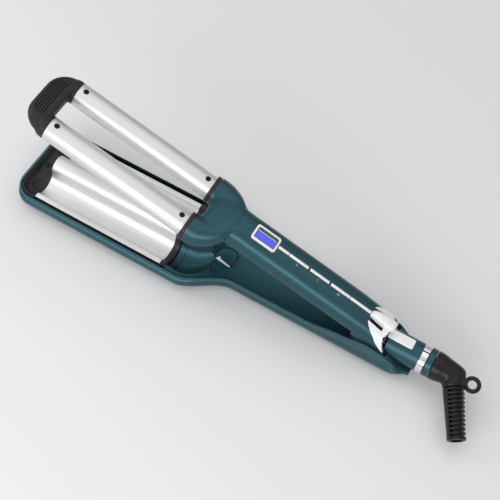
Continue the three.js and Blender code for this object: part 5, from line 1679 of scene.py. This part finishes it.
    def barrel_cap(self, y: float) -> Solid:
        """The bridge's rounded end on one barrel.

        Args:
            y: The barrel's place across the arm.

        Returns:
            The rounded end.
        """
        start, r = -self.tip + 0.5, self.radius
        profile = [(start, 0), (start, r - 0.2), (start - 0.2, r), (start - 0.55 * self.bridge_cap, r)]
        for angle in spread(0, math.pi / 2 * 0.96, math.pi / 28)[1:]:
            place = 0.55 + 0.45 * math.sin(angle)
            profile.append((start - place * self.bridge_cap, r * (0.45 + 0.55 * math.cos(angle))))
        end = profile[-1][0]
        return Solid.turned([*profile, (end, 0)], 96).moved(Matrix.Translation((0, y, 0)))

    def groove(self, at: float, floor: float, reach: float) -> Solid:
        """A groove with a round floor that bends back a little at its ends.

        Args:
            at: Its distance from the hinge.
            floor: Height of its floor in the middle.
            reach: Half its length.

        Returns:
            The groove as a cutter.
        """
        rings = []
        half = self.groove_radius
        for y in spread(-reach, reach, 1.0):
            share = y / reach
            x = -at + 1.1 * share**4
            width = half * math.sqrt(max(0.03, 1 - share**8))
            low = floor - 0.9 * share**2
            turns = spread(math.pi, math.tau, 0.3)
            outline = [(width * math.cos(t), half + half * math.sin(t)) for t in turns]
            outline += [(width, REACH / 10), (-width, REACH / 10)]
            rings.append([Vector((x + dx, y, low + dz)) for dx, dz in outline])
        return Solid.loft(rings)


# Lower arm


@dataclass
class LowerArm:
    """Deep lower shell with the wave plate, the covers inside it and the depth dial."""

    shop: Workshop
    row: RowOfCopies
    rim: float = -3.6
    head_half: float = 38.5
    head_rim_half: float = 36.2
    half_width: float = 17.9
    rim_half: float = 17.4
    cheek_inner: float = 14.9
    cheek_top: float = 5.2
    head_tip: float = 318.0
    tip_corner: float = 14.5
    head_rear: float = 168.0
    waist: float = 126.0
    rear: float = 28.0
    side_height: float = -9.0
    half_spacing: float = 19.0
    trough: float = 10.7
    sheet: float = 1.5
    plate_front: float = 298.6
    plate_rear: float = 181.3
    plate_half: float = 32.6
    plate_lip: float = -4.5
    bar_depth: float = 4.8
    cover_top: float = -4.8
    cover_rear: float = 27.0
    cover_depth: float = 3.0
    scoop_growth: float = 1.4
    scoop_radius: float = 12.6
    tub_radius: float = 14.4
    dial_at: float = 139.0
    dial_radius: float = 9.2
    dial_depth: float = 2.0
    grip_half: float = 5.75
    fastener_side: float = 9.0
    smooth_to: float = 10.0
    post_outer: float = 11.6
    post_width: float = 2.4
    post_rear: float = 2.9
    pin_bore: float = 2.15
    saddle_front: float = 6.8
    stub_radius: float = 11.2
    seam: float = 0.75
    floor: float = -HINGE_HEIGHT - 0.7
    section_power: float = 2.9
    tip_deck: float = -4.7
    tip_dish: float = -8.4

    @property
    def rims(self) -> list[Pair]:
        """Height of the rim along the arm."""
        rear = [(-self.rear, -10.2), (-23, -9.4), (-11, -1), (-4, 3)]
        return [*rear, (10, self.cheek_top), (30, 1.2), (62, self.rim)]

    @property
    def widths(self) -> list[Pair]:
        """Half width of the side along the arm."""
        h = self.half_width
        return [
            (-self.rear, 12.4), (-25, 13.2), (-20.5, 15.5), (-15, 17.3), (-4, h), (24, h), (50, h),
            (self.waist - 2, h), (self.head_rear - 2, self.head_half),
        ]

    @property
    def rim_widths(self) -> list[Pair]:
        """Half width of the rim along the arm."""
        cheek = self.cheek_inner + 1.7
        return [
            (-self.rear, 12.4), (-24, 13.2), (-12, 15.2), (-6, 16.3), (2, cheek), (24, cheek),
            (50, self.rim_half), (self.waist - 2, self.rim_half), (self.head_rear - 2, self.head_rim_half),
        ]

    @property
    def inner_widths(self) -> list[Pair]:
        """Half width of the cavity along the arm."""
        return [
            (-self.rear, 11.6), (-14, 12), (-6, 14.8), (2, self.cheek_inner), (28, self.cheek_inner),
            (46, self.rim_half - WALL), (self.waist - 2, self.rim_half - WALL),
            (self.head_rear - 2, self.head_rim_half - WALL + 0.4),
        ]

    @property
    def floors(self) -> list[Pair]:
        """Height of the floor along the arm."""
        return [(-self.rear, -12.2), (-25, -13.8), (-21, -18), (-16, self.floor)]

    def read(self, stations: Stations, at: float) -> float:
        """Reads stations of the shell: one smooth curve near the hinge, and S-curves ahead of it."""
        return flowing(stations, at) if at < self.smooth_to else eased(stations, at)

    def ring(
        self, at: float, half: float, rim_half: float, rim: float, floor: float, inset: float,
    ) -> list[Vector]:
        """One section of the shell, or of its cavity where there is an inset.

        Args:
            at: Distance from the hinge.
            half: Half width at the widest height.
            rim_half: Half width at the rim.
            rim: Height of the rim.
            floor: Height of the floor.
            inset: How much smaller the section is all round.

        Returns:
            The section's points in order.
        """
        middle = min(self.side_height, rim - 2)
        points = []
        for angle in spread(0, math.pi, math.pi / 36):
            c, s = math.cos(angle), abs(math.sin(angle))
            y = (half - inset) * signed_power(c, 2 / self.section_power)
            depth = (middle - floor - inset) * s ** (2 / self.section_power)
            points.append(Vector((-at, y, middle - depth)))
        top = rim + (REACH / 4 if inset > 0 else 0)
        soft = 0.0 if inset > 0 else 0.8
        for side in (-1, 1):
            edge = side * (rim_half - inset)
            shoulder = Vector((-at, side * (half + rim_half) / 2 - side * inset, (middle + rim) / 2))
            corner = Vector((-at, edge, top))
            if soft:
                low = corner.lerp(shoulder, soft / max(1.0, rim - middle))
                lip = [low, Vector((-at, edge - side * 0.22, top - 0.2))]
                lip.append(Vector((-at, edge - side * 0.75, top)))
                inward = Vector((0, -side * self.seam, 0))
                below = shoulder - Vector((0, 0, self.seam * 0.7))
                above = shoulder.lerp(corner, min(0.4, self.seam / max(1.0, top - shoulder.z)))
                row = [below, shoulder + inward, above, *lip]
            else:
                row = [shoulder.lerp(corner, share) for share in (0.0, 0.2, 0.4, 0.6, 0.8, 1.0)]
            points.extend(row if side < 0 else reversed(row))
        return points

    def body(self, inner: bool, spare: float = 0.0) -> Solid:
        """The shell's outer shape, or its cavity less a spare distance.

        Args:
            inner: Whether it is the cavity.
            spare: How much smaller the cavity is made.

        Returns:
            The closed shape.
        """
        inset = WALL + spare if inner else 0.0
        rings = []
        runs = (
            (-self.rear, 20, 1.0), (22, 120, 4), (122, 170, 1.5), (176, self.head_tip - self.tip_corner, 8),
        )
        for at in (place for run in runs for place in spread(*run)):
            if inner:
                rim_half = self.read(self.inner_widths, at) + WALL
                half = rim_half + (2.2 if at > self.waist else 0.4)
            else:
                half, rim_half = self.read(self.widths, at), self.read(self.rim_widths, at)
            rim, floor = self.read(self.rims, at), self.read(self.floors, at)
            rings.append(self.ring(at, half, rim_half, rim, floor, inset))
        for angle in spread(0, math.pi / 2, math.pi / 28)[1:]:
            forward, aside = math.sin(angle), math.cos(angle)
            corner = self.tip_corner - inset
            drawn = corner * (1 - aside)
            at = self.head_tip - self.tip_corner + corner * forward
            half = (self.head_rim_half + 2.6 if inner else self.head_half) - drawn
            rim_half = (self.head_rim_half + 0.4 if inner else self.head_rim_half) - drawn
            rings.append(self.ring(at, half, rim_half, self.rim, self.floor + drawn * 0.62, inset))
        return Solid.loft(rings)

    def build(self, arm: UpperArm) -> None:
        """Makes every piece of the lower arm.

        Args:
            arm: The upper arm, whose sockets the covers make room for.
        """
        self.build_shell()
        self.build_plate()
        self.build_tip()
        self.build_cover(arm)
        self.build_dial()

    def build_shell(self) -> None:
        """Makes the deep shell with the saddle round the stub and the posts that hold the pin."""
        saddle = Solid.block(
            (self.saddle_front, -REACH, -self.stub_radius - GAP - WALL), (REACH, REACH, REACH),
        )
        shell = self.body(False).cut(self.body(True).cut(slab_x(self.rear - 3, REACH), saddle))
        shell = shell.cut(Solid.block((-5 * REACH, -REACH, -REACH), (REACH, REACH, -HINGE_HEIGHT)))
        for _, side in SIDES:
            low, high = sorted((side * (self.post_outer - self.post_width), side * self.post_outer))
            shell = shell.join(Solid.block((-4, low, -HINGE_HEIGHT + 1), (self.post_rear, high, 3.4)))
        shell = shell.cut(rod_x(self.post_rear, REACH, self.stub_radius + GAP, 0, 0, 96))
        shell = shell.cut(rod_y(-self.post_outer - 1, self.post_outer + 1, self.pin_bore))
        self.shop.place(shell, "lower_tub", Carrier.LOWER_ARM, TEAL, "teal_shell", ["lower_shell"], worn=True)

    def wave(self, offset: float, steps: int = 40) -> list[Pair]:
        """The wave's curve: two troughs with a ridge between them, and a lip on each side.

        Args:
            offset: How far it lies below the real curve.
            steps: Edges in each trough and in the ridge.

        Returns:
            The curve's points, as places across the arm and heights.
        """
        curve = []
        trough, ridge = self.trough + offset, self.half_spacing - self.trough - offset
        lip = math.asin(-(self.plate_lip - offset) / trough)
        for i in range(steps + 1):
            angle = math.pi + lip + (math.pi - lip) * i / steps
            curve.append((-self.half_spacing + trough * math.cos(angle), trough * math.sin(angle)))
        for i in range(1, steps):
            angle = math.pi - math.pi * i / steps
            curve.append((ridge * math.cos(angle), ridge * math.sin(angle)))
        for i in range(steps + 1):
            angle = math.pi + (math.pi - lip) * i / steps
            curve.append((self.half_spacing + trough * math.cos(angle), trough * math.sin(angle)))
        return curve

    def build_plate(self) -> None:
        """Makes the wavy plate and the dark bar behind it."""
        half, lip, flange = self.plate_half, self.plate_lip, self.plate_lip - 3
        inner, under = half - self.sheet, lip - self.sheet
        soft = [(0.0, 0.5), (0.15, 0.15), (0.5, 0.0)]
        outline = [(-half, flange), *((-half + a, lip - b) for a, b in soft), *self.wave(0)]
        outline += [*((half - a, lip - b) for a, b in reversed(soft)), (half, flange), (inner, flange)]
        outline += [(inner, under), *reversed(self.wave(self.sheet)), (-inner, under), (-inner, flange)]
        plate = Solid.prism(outline, -self.plate_front, -self.plate_rear, Axis.X)
        self.shop.place(plate, "wave_sheet", Carrier.LOWER_ARM, SATIN_PLATE, "satin_metal", ["wave_plate"])
        half, low, high = self.plate_half + 0.9, -14.5, -self.plate_rear + GAP
        outline = [(-half, low + 4), (-half, lip), *self.wave(0), (half, lip), (half, low + 4)]
        outline += [(half - 4, low), (4 - half, low)]
        bar = Solid.prism(outline, high, high + self.bar_depth, Axis.X)
        self.shop.place(bar, "wave_end_bar", Carrier.LOWER_ARM, COLLAR, "collar_plastic", ["rear_insulator"])

    def build_tip(self) -> None:
        """Makes the black land at the tip, with its dish, its two scoops and the seat and hole for its screw.
        """
        front, back = self.head_tip - 1.6, self.plate_front + GAP
        half, corner = self.head_rim_half - WALL - 0.1, self.tip_corner - 2
        outline = [(-back, -half), (-back, half)]
        for side in (1, -1):
            for angle in spread(0, math.pi / 2, math.pi / 24)[:: side]:
                y = side * (half - corner + corner * math.cos(angle))
                outline.append((-front + corner - corner * math.sin(angle), y))
        land = Solid.prism(outline, -15, self.tip_deck, Axis.Z).common(self.body(True, GAP))
        dish, deck = self.tip_dish, self.tip_deck
        walls = ((dish, 6.0), (dish + 0.25, 4.9), (dish + 1.1, 3.7), (deck - 0.9, 2.7), (deck - 0.2, 1.9))
        walls += ((deck + 2, 1.0),)
        land = land.cut(rounded_plate(walls, 2 * (front - back), 2 * half, corner, -back, 14))
        for _, side in SIDES:
            y, scoop = side * self.half_spacing, self.trough + GAP
            land = land.cut(rod_x(-back - 5, -back + 1, scoop, y), Solid.ball((-back - 5, y, 0), scoop))
        at = -back - 10
        land = land.cut(rod_z(dish - 1.2, REACH, SCREW_HEAD_SEAT, at), rod_z(-13, REACH, SCREW_HOLE, at))
        self.shop.place(land, "tip_land", Carrier.LOWER_ARM, BLACK, "black_plastic", ["tip_frame"], worn=True)

    def build_cover(self, arm: UpperArm) -> None:
        """Makes the cover inside the shell, with scoops that the fork's sockets close into.

        Args:
            arm: The upper arm.
        """
        front = self.plate_rear - 2 * GAP - self.bar_depth
        rings = []
        top, low = self.cover_top, self.cover_top - self.cover_depth
        for at in spread(self.cover_rear, front, 2):
            half = eased(self.inner_widths, at) - GAP
            corners = ((half, top), (-half, top), (-half, low), (half, low))
            rings.append([Vector((-at, y, z)) for y, z in corners])
        cover = Solid.loft(rings)
        below = Solid.block((-front + 0.5, -REACH, -REACH), (-self.waist, REACH, self.cover_top - 0.5))
        scoops, tubs = [], []
        for _, side in SIDES:
            y, end = side * self.half_spacing, -arm.yoke_front + 0.5
            room = arm.socket(side, self.scoop_growth, 0, 64)
            scoops.append(room.join(rod_x(-front - 1, end, self.scoop_radius, y)))
            tub = arm.socket(side, self.scoop_growth + WALL, 0, 40)
            tubs.append(tub.join(rod_x(-front, end, self.tub_radius, y)).common(below))
        cover = cover.join(*tubs).cut(*scoops)
        floor = self.cover_top - self.dial_depth
        cover = cover.cut(rod_z(floor, REACH, self.dial_radius + 0.4, -self.dial_at, 0, 96))
        cover = cover.cut(rod_z(-REACH, REACH, 2.2, -self.dial_at))
        for at in (self.dial_at - 35, 44.0):
            recess = rod_z(self.cover_top - 1.6, REACH, SCREW_HEAD_SEAT, -at, self.fastener_side)
            cover = cover.cut(rod_z(-REACH, REACH, SCREW_HOLE, -at, self.fastener_side), recess)
        self.shop.place(cover, "shell_lining", Carrier.LOWER_ARM, TEAL_INNER, "teal_inner", ["inner_cover"])
        self.build_wave_marks(cover)

    def build_wave_marks(self, cover: Solid) -> None:
        """Prints plain wave signs at both ends of the dial's travel: three slight waves and one deep one.

        Args:
            cover: The lining that they are printed on. They follow its flat and its scoops.
        """
        above, below = (cover.moved(Matrix.Translation((0, 0, shift))) for shift in (0.05, -0.25))
        slight = [(-149.9, y, 0.4, 2.2, 1.5) for y in (-1.8, 0.4, 2.6)]
        for number, sign in enumerate([*slight, (-142.9, -15.6, 1.5, 3.0, 1.5)]):
            stroke = self.wave_sign(*sign).common(above).cut(below)
            self.shop.place(stroke, f"wave_sign_{number + 1}", Carrier.LOWER_ARM, MATT_BLACK, "teal_inner")

    def wave_sign(self, x: float, y: float, swing: float, half: float, turns: float) -> Solid:
        """One printed wavy stroke along the arm.

        Args:
            x: Middle of the stroke.
            y: Middle of the stroke across the arm.
            swing: Height of its waves.
            half: Half its length.
            turns: How many waves it has.

        Returns:
            The stroke as a tall solid through the cover's surface.
        """
        low, high, pen = self.cover_top - 4, self.cover_top + 1, 0.3 + swing * 0.35
        rings = []
        for along in spread(-half, half, 0.12):
            middle = y + swing * math.sin(along / half * math.pi * turns)
            rings.append([
                Vector((x + along, middle + pen, high)), Vector((x + along, middle - pen, high)),
                Vector((x + along, middle - pen, low)), Vector((x + along, middle + pen, low)),
            ])
        return Solid.loft(rings)

    def build_dial(self) -> None:
        """Makes the flat knob with its raised, notched grip, and the white pointer sliver along the grip's
        near edge, which also paints the highlight on that edge.
        """
        bottom = self.cover_top - self.dial_depth + GAP
        top, r = bottom + 1.3, self.dial_radius
        profile = [(bottom, r), (top - 0.35, r), (top - 0.1, r - 0.12), (top, r - 0.4)]
        disc = Solid.loft([
            [Vector((-self.dial_at + radius * math.cos(t), radius * math.sin(t), z)) for t in circle(96)]
            for z, radius in profile
        ])
        half = self.grip_half
        foot = [(-half + 1, -half * 0.55), (half, -half), (half, half), (-half + 1, half * 0.55)]
        rings = []
        for z, share in ((top - 0.3, 1.0), (top + 1.2, 0.97), (top + 1.8, 0.9), (top + 2, 0.82)):
            rings.append([Vector((x * share - self.dial_at + 1.5, y * share, z)) for x, y in foot])
        low = self.cover_top - 5.5
        knob = disc.join(Solid.loft(rings), rod_z(low, bottom + 0.2, 1.9, -self.dial_at))
        knob = knob.join(rod_z(low, self.cover_top - self.cover_depth - GAP, 5, -self.dial_at + 1.5))
        pin_x, pin_y = -self.dial_at - 5.3, -3.7
        knob = knob.cut(rod_z(top - 0.8, REACH, 1.0, pin_x, pin_y))
        notch = Solid.block((-0.2, -half * 0.62, top + 1.55), (0.2, half * 0.62, top + 4))
        material = self.shop.material(TEAL_INNER)
        cuts = self.row.build(notch, 4, (-self.dial_at - 0.9, 0, 0), (1.7, 0, 0), material)
        knob = knob.cut(cuts)
        self.shop.place(knob, "dial_knob", Carrier.DEPTH_DIAL, TEAL_INNER, "teal_inner", ["depth_dial"])
        # A white sliver laid along the grip's near edge: partly the pointer, partly a painted highlight where
        # that edge catches the light.
        pointer_glint = ((-7.3, -4.9), (6.2, -6.6), (6.5, -6.0), (-3.7, -3.5), (-5.4, -1.6))
        middle = Vector((-1.8, -4.7))
        rings = []
        for z, share in ((top + GAP, 1.0), (top + 0.7, 0.98), (top + 1.0, 0.86)):
            places = (middle + (Vector(point) - middle) * share for point in pointer_glint)
            rings.append([Vector((place.x - self.dial_at, place.y, z)) for place in places])
        mark = Solid.loft(rings).join(rod_z(top - 0.5, top + 0.5, 0.7, pin_x, pin_y))
        self.shop.place(mark, "dial_pointer_glint", Carrier.DEPTH_DIAL, BRIGHT, "chrome_trim", ["dial_pointer"])


@dataclass
class RearStub:
    """Round stub behind the hinge with its rings and the bright lock slide."""

    shop: Workshop
    row: RowOfCopies
    radius: float = 11.2
    front: float = 3.2
    spigot: float = 9.6
    chrome_radius: float = 11.6
    teal_radius: float = 11.3
    ring_start: float = 29.35
    teal_start: float = 35.45
    end: float = 40.45
    lock_front: float = 1.6
    lock_length: float = 20.6
    lock_width: float = 8.2
    lock_thickness: float = 1.5
    lock_travel: float = 5.0
    web_setback: float = 9.0
    web_length: float = 6.0
    web_half: float = 1.0
    foot_half: float = 3.0

    def build(self) -> None:
        """Makes the stub, both rings and the slide."""
        stub = rod_x(self.front, self.ring_start, self.radius, sides=96)
        stub = stub.join(rod_x(self.ring_start - 1, self.end, self.spigot, sides=96))
        web, room = self.lock_front + self.web_setback, self.web_half + GAP
        front, back = web - self.lock_travel - 2 * GAP, web + self.web_length + GAP
        stub = stub.cut(
            rod_x(0, self.ring_start - 2, self.radius - WALL),
            rod_x(self.ring_start - 3, self.end - 2.6, self.spigot - WALL), rod_x(0, REACH, SHAFT_BORE),
            Solid.block((front, -room, 0), (back, room, REACH)),
        )
        self.shop.place(stub, "stub_tube", Carrier.LOWER_ARM, TEAL, "teal_shell", ["rear_stub"])
        chrome = self.ring(self.chrome_radius, self.ring_start + GAP, self.teal_start - GAP)
        chrome = chrome.cut(Solid.block((0, -0.6, 0), (REACH, 0.6, REACH)))
        self.shop.place(chrome, "bright_ring", Carrier.LOWER_ARM, CHROME, "chrome_trim", ["chrome_ring"])
        teal = self.ring(self.teal_radius, self.teal_start, self.end)
        self.shop.place(teal, "coloured_ring", Carrier.LOWER_ARM, TEAL, "teal_shell", ["teal_ring"])
        self.build_slide(web)

    def ring(self, radius: float, low: float, high: float) -> Solid:
        """A ring with softened outer edges round the spigot.

        Args:
            radius: Its outer radius.
            low: Where it starts behind the hinge.
            high: Where it ends.

        Returns:
            The ring.
        """
        soft, bore = 0.35, rod_x(low - 1, high + 1, self.spigot + GAP, sides=96)
        profile = [(low, 0), (low, radius - soft), (low + soft, radius), (high - soft, radius)]
        return Solid.turned([*profile, (high, radius - soft), (high, 0)], 96).cut(bore)

    def build_slide(self, web: float) -> None:
        """Makes the lock slide with grip slits and a row of pressed dots.

        Args:
            web: Where the web to its foot starts.
        """
        back, low = self.lock_front + self.lock_length, self.radius + GAP
        high = low + self.lock_thickness
        middle = (self.lock_front + back) / 2
        levels = ((low, 0.0), (high - 0.5, 0.0), (high - 0.15, 0.15), (high, 0.5))
        slide = rounded_plate(levels, self.lock_length, self.lock_width, 1.0, middle)
        half = self.lock_width / 2 - 1.2
        slit = Solid.block((-0.35, -half, high - 0.4), (0.35, half, high + 2))
        material = self.shop.material(BRIGHT)
        slide = slide.cut(self.row.build(slit, 2, (back - 5, 0, 0), (1.8, 0, 0), material))
        dot = rod_z(high - 0.3, high + 2, 0.3, sides=16)
        slide = slide.cut(self.row.build(dot, 4, (back - 7.4, -1.8, 0), (0, 1.2, 0), material))
        foot_top = math.sqrt((self.radius - WALL) ** 2 - self.foot_half**2) - GAP
        end = web + self.web_length
        slide = slide.join(
            Solid.block((web, -self.web_half, foot_top - 0.5), (end, self.web_half, low + 0.2)),
            Solid.block((web, -self.foot_half, foot_top - 1.4), (end, self.foot_half, foot_top)),
        )
        self.shop.place(slide, "slide_plate", Carrier.LOCK_SLIDE, BRIGHT, "bright_trim", ["lock_slide"])


@dataclass
class CordSwivel:
    """Black boot that turns on the stub, with its hang loop and ribbed strain relief."""

    shop: Workshop
    row: RowOfCopies
    start: float = 40.75
    radius: float = 11.3
    elbow: float = 57.0
    end: float = 67.0
    neck_radius: float = 8.5
    neck_length: float = 10.5
    relief_end: float = 50.0
    relief_radius: float = 8.3
    relief_tip_radius: float = 7.25
    smooth_side: float = 2.0
    core_radius: float = 5.6
    core_tip_radius: float = 5.0
    ribs: int = 11
    rib_width: float = 2.0
    pitch: float = 3.3
    cable: float = 3.2
    angle: float = math.radians(-60.7)
    droop: float = math.radians(12)
    loop_radius: float = 6.7
    loop_hole: float = 3.4
    loop_thickness: float = 2.6
    loop_at: float = 73.4

    @property
    def direction(self) -> Vector:
        """The way in which the strain relief leaves the boot.

        Returns:
            A direction of length one.
        """
        across = math.sin(self.angle)
        aside, down = across * math.cos(self.droop), across * math.sin(self.droop)
        return Vector((math.cos(self.angle), aside, down)).normalized()

    def on_relief(self, distance: float) -> Vector:
        """A point on the strain relief's own axis."""
        return Vector((self.elbow, 0, 0)) + self.direction * distance

    def bore(self, start: float, radius: float, sides: int) -> Solid:
        """A cutter on the strain relief's axis, from a place on it to beyond its end."""
        return Solid.rod(self.on_relief(start), self.on_relief(REACH), radius, sides)

    def build(self) -> None:
        """Makes the boot and the strain relief."""
        start, end, radius = self.start, self.end, self.neck_radius
        rows = (
            (start, 11.0), (start + 0.4, self.radius), (start + 4, self.radius + 0.1), (self.elbow - 6, 10.2),
            (self.elbow + 2, 8.9), (end - 3.4, 7.6), (end - 1.2, 5.6), (end - 0.3, 3.4), (end, 1.5),
        )
        places = [*spread(start, end - 4, 0.8), *spread(end - 3.6, end, 0.3)]
        body = Solid.turned([(x, flowing(rows, x)) for x in places], 96)
        neck = Solid.rod(self.on_relief(-1), self.on_relief(self.neck_length), radius + 0.5, 72, radius)
        tilt = Matrix.Rotation(self.droop, 4, "X")
        boot = body.join(neck).melted(0.45, 40, lambda points: np.where(points[:, 0] > start + 3, 0.5, 0.0))
        ring = self.loop().moved(tilt)
        web = Solid.block((end - 4, -2.2, -1.2), (end + 1.6, 2.2, 1.2), 0.5).moved(tilt)
        boot = boot.join(ring, web)
        boot = boot.cut(
            rod_x(0, start + 8.3, SHAFT_BORE), rod_x(0, self.elbow + 1, self.cable),
            self.bore(0, self.cable, 32), self.bore(self.neck_length - 5, self.core_radius + GAP, 48),
        )
        self.shop.place(
            boot, "boot", Carrier.CORD_SWIVEL, RUBBER, "black_plastic", ["swivel_boot"], worn=True,
        )
        self.build_relief()

    def loop(self) -> Solid:
        """The round hang loop, lying flat behind the boot.

        Returns:
            The loop.
        """
        mean = (self.loop_radius + self.loop_hole) / 2
        half = (self.loop_radius - self.loop_hole) / 2
        rings = []
        shell = bmesh.new()
        sides, power = 16, 0.7
        for t in circle(64):
            ring = []
            for a in circle(sides):
                out = mean + half * signed_power(math.cos(a), power)
                z = self.loop_thickness / 2 * signed_power(math.sin(a), power)
                ring.append(shell.verts.new((self.loop_at + out * math.cos(t), out * math.sin(t), z)))
            rings.append(ring)
        for i, ring in enumerate(rings):
            following = rings[(i + 1) % len(rings)]
            for j in range(sides):
                k = (j + 1) % sides
                shell.faces.new((ring[j], ring[k], following[k], following[j]))
        return Solid.from_shell(shell)

    def build_relief(self) -> None:
        """Makes the tapering strain relief: a core, a stack of ribs, a smooth side and a collar."""
        first = self.neck_length + GAP
        turn = Vector((1, 0, 0)).rotation_difference(self.direction).to_matrix().to_4x4()
        placing = Matrix.Translation((self.elbow, 0, 0)) @ turn
        root, slim = self.neck_length - 4.5, self.core_tip_radius
        core = Solid.turned([
            (root, 0), (root, self.core_radius), (first, self.core_radius), (first, self.core_radius + 0.1),
            (self.relief_end - 2, slim), (self.relief_end, slim), (self.relief_end, 0),
        ], 64)
        r, w = self.relief_radius, self.rib_width
        turns = spread(math.pi, 0, -math.pi / 8)
        crown = [(w / 2 * math.cos(t), r - w / 2 + w / 2 * math.sin(t)) for t in turns]
        rib = Solid.turned([(-w / 2, 0), *crown, (w / 2, 0)], 64)
        material = self.shop.material(RUBBER)
        last = self.relief_tip_radius / self.relief_radius
        start, step = (first + w / 2, 0, 0), (self.pitch, 0, 0)
        ribs = self.row.build(rib, self.ribs, start, step, material, (1.0, last))
        tip = self.relief_tip_radius
        collar = Solid.turned([
            (self.relief_end - 3, 0), (self.relief_end - 3, tip - 0.5), (self.relief_end - 2.6, tip),
            (self.relief_end - 0.8, tip), (self.relief_end - 0.2, tip - 0.4), (self.relief_end, tip - 1),
            (self.relief_end, 0),
        ], 64)
        smooth = Solid.turned([
            (first + 0.5, 0), (first + 0.5, r - 0.15), (self.relief_end - 1.5, tip - 0.15),
            (self.relief_end - 1.5, 0),
        ], 64)
        side = Solid.block((0, -REACH, -REACH), (REACH, self.smooth_side - r, REACH))
        relief = core.join(ribs, collar, smooth.common(side)).moved(placing)
        relief = relief.cut(
            self.bore(0, self.cable, 32), self.bore(self.relief_end - 2.5, self.cable + 1.8, 48),
        )
        self.shop.place(
            relief, "relief_stack", Carrier.CORD_SWIVEL, RUBBER, "black_plastic", ["strain_relief"],
        )


# Studio


@dataclass(frozen=True)
class Softbox:
    """One soft area lamp that looks at the middle of the waver."""

    name: str
    place: Triple
    size: Pair
    power: float

    def build(self, aim: Vector) -> None:
        """Adds the lamp.

        Args:
            aim: The point that it looks at.
        """
        lamp = bpy.data.lights.new(self.name, "AREA")
        lamp.shape = "RECTANGLE"
        lamp.size, lamp.size_y = self.size
        lamp.energy = self.power
        made = bpy.data.objects.new(self.name, lamp)
        made.location = self.place
        made.rotation_mode = "QUATERNION"
        made.rotation_quaternion = (aim - Vector(self.place)).to_track_quat("-Z", "Y")
        bpy.context.scene.collection.objects.link(made)


@dataclass(frozen=True)
class Studio:
    """Pale floor, soft lamps, even world light and the camera at the photograph's angle."""

    azimuth: float = 21.949
    elevation: float = 58.992
    roll: float = 8.771
    distance: float = 805.876
    lens: float = 76.215
    aside: float = 102.641
    above: float = -67.333
    sensor: float = 36.0
    aim: Triple = (-0.12, 0.0, 0.03)
    floor_colour: Colour = (0.8, 0.8, 0.8, 1)
    floor_half: float = 3.0
    floor_drop: float = 0.0002
    lamps: tuple[Softbox, ...] = (
        Softbox("over_lamp", (-0.3, 0.2, 1.0), (1.5, 1.1), 1.8),
        Softbox("near_lamp", (-0.15, -0.95, 0.45), (1.4, 0.5), 6.4),
        Softbox("tip_lamp", (-1.0, -0.1, 0.5), (0.4, 0.6), 1.3),
    )

    def build(self) -> None:
        """Makes the floor, lamps, world and camera."""
        shell = bmesh.new()
        bmesh.ops.create_grid(shell, x_segments=1, y_segments=1, size=self.floor_half)
        mesh = bpy.data.meshes.new("floor")
        shell.to_mesh(mesh)
        shell.free()
        mesh.transform(Matrix.Translation((0, 0, -self.floor_drop)))
        floor = bpy.data.objects.new("floor", mesh)
        bpy.context.scene.collection.objects.link(floor)
        mesh.materials.append(self.floor_material())
        for lamp in self.lamps:
            lamp.build(Vector(self.aim))
        self.build_world()
        self.build_camera()
        bpy.context.scene.view_settings.view_transform = "Standard"

    def floor_material(self) -> Material:
        """A plain matt surface.

        Returns:
            The floor's material.
        """
        material = bpy.data.materials.new("pale_floor")
        material.use_nodes = True
        shader = material.node_tree.nodes["Principled BSDF"]
        shader.inputs["Base Color"].default_value = self.floor_colour
        shader.inputs["Roughness"].default_value = 0.9
        return material

    def build_world(self) -> None:
        """Even light from above that falls off towards the horizon."""
        world = bpy.data.worlds.new("studio_air")
        bpy.context.scene.world = world
        world.use_nodes = True
        tree = world.node_tree
        place = add_node(tree, "ShaderNodeTexCoord").outputs["Generated"]
        height = add_node(tree, "ShaderNodeSeparateXYZ", {"Vector": place})
        ramp = add_node(tree, "ShaderNodeValToRGB", {"Fac": height.outputs["Z"]})
        ramp.color_ramp.elements[0].color = (0.28, 0.28, 0.285, 1)
        ramp.color_ramp.elements[1].color = (0.78, 0.78, 0.79, 1)
        tree.links.new(ramp.outputs[0], tree.nodes["Background"].inputs["Color"])
        tree.nodes["Background"].inputs["Strength"].default_value = 1.0

    def build_camera(self) -> None:
        """Sets the camera that was fitted to the photograph's outlines."""
        a, e, r = (math.radians(x) for x in (self.azimuth, self.elevation, self.roll))
        back = Vector((math.sin(a) * math.cos(e), -math.cos(a) * math.cos(e), math.sin(e)))
        level = Vector((math.cos(a), math.sin(a), 0))
        upright = back.cross(level)
        right = level * math.cos(r) + upright * math.sin(r)
        up = upright * math.cos(r) - level * math.sin(r)
        target = -right * self.aside - up * self.above + Vector((0, 0, HINGE_HEIGHT))
        place = (target + back * self.distance) * MM
        lens = bpy.data.cameras.new("photo_camera")
        lens.lens, lens.sensor_width = self.lens, self.sensor
        camera = bpy.data.objects.new("photo_camera", lens)
        turn = Matrix((right, up, back)).transposed().to_4x4()
        camera.matrix_world = Matrix.Translation(place) @ turn
        bpy.context.scene.collection.objects.link(camera)
        bpy.context.scene.camera = camera


def main() -> None:
    """Builds the studio and every piece of the waver, and logs how many pieces were made."""
    logging.basicConfig(level=logging.INFO, format="%(name)s: %(message)s")
    Studio().build()
    shop = Workshop()
    row = RowOfCopies()
    arm = UpperArm(shop)
    controls = Controls(shop)
    arm.build(controls.seats())
    controls.build()
    Barrels(shop, row).build()
    LowerArm(shop, row).build(arm)
    RearStub(shop, row).build()
    CordSwivel(shop, row).build()
    shop.dress_cad({
        "teal_shell": TEAL, "teal_inner": TEAL_INNER, "black_plastic": BLACK, "collar_plastic": COLLAR,
        "satin_metal": SATIN_PLATE, "chrome_trim": CHROME, "bright_trim": BRIGHT, "display_glass": LIT,
        "black_screw": SCREW, "steel": STEEL, "brass": BRASS, "ceramic": CERAMIC, "board": BOARD,
    })
    log.info("%d pieces made", shop.made)


if __name__ == "__main__":
    main()
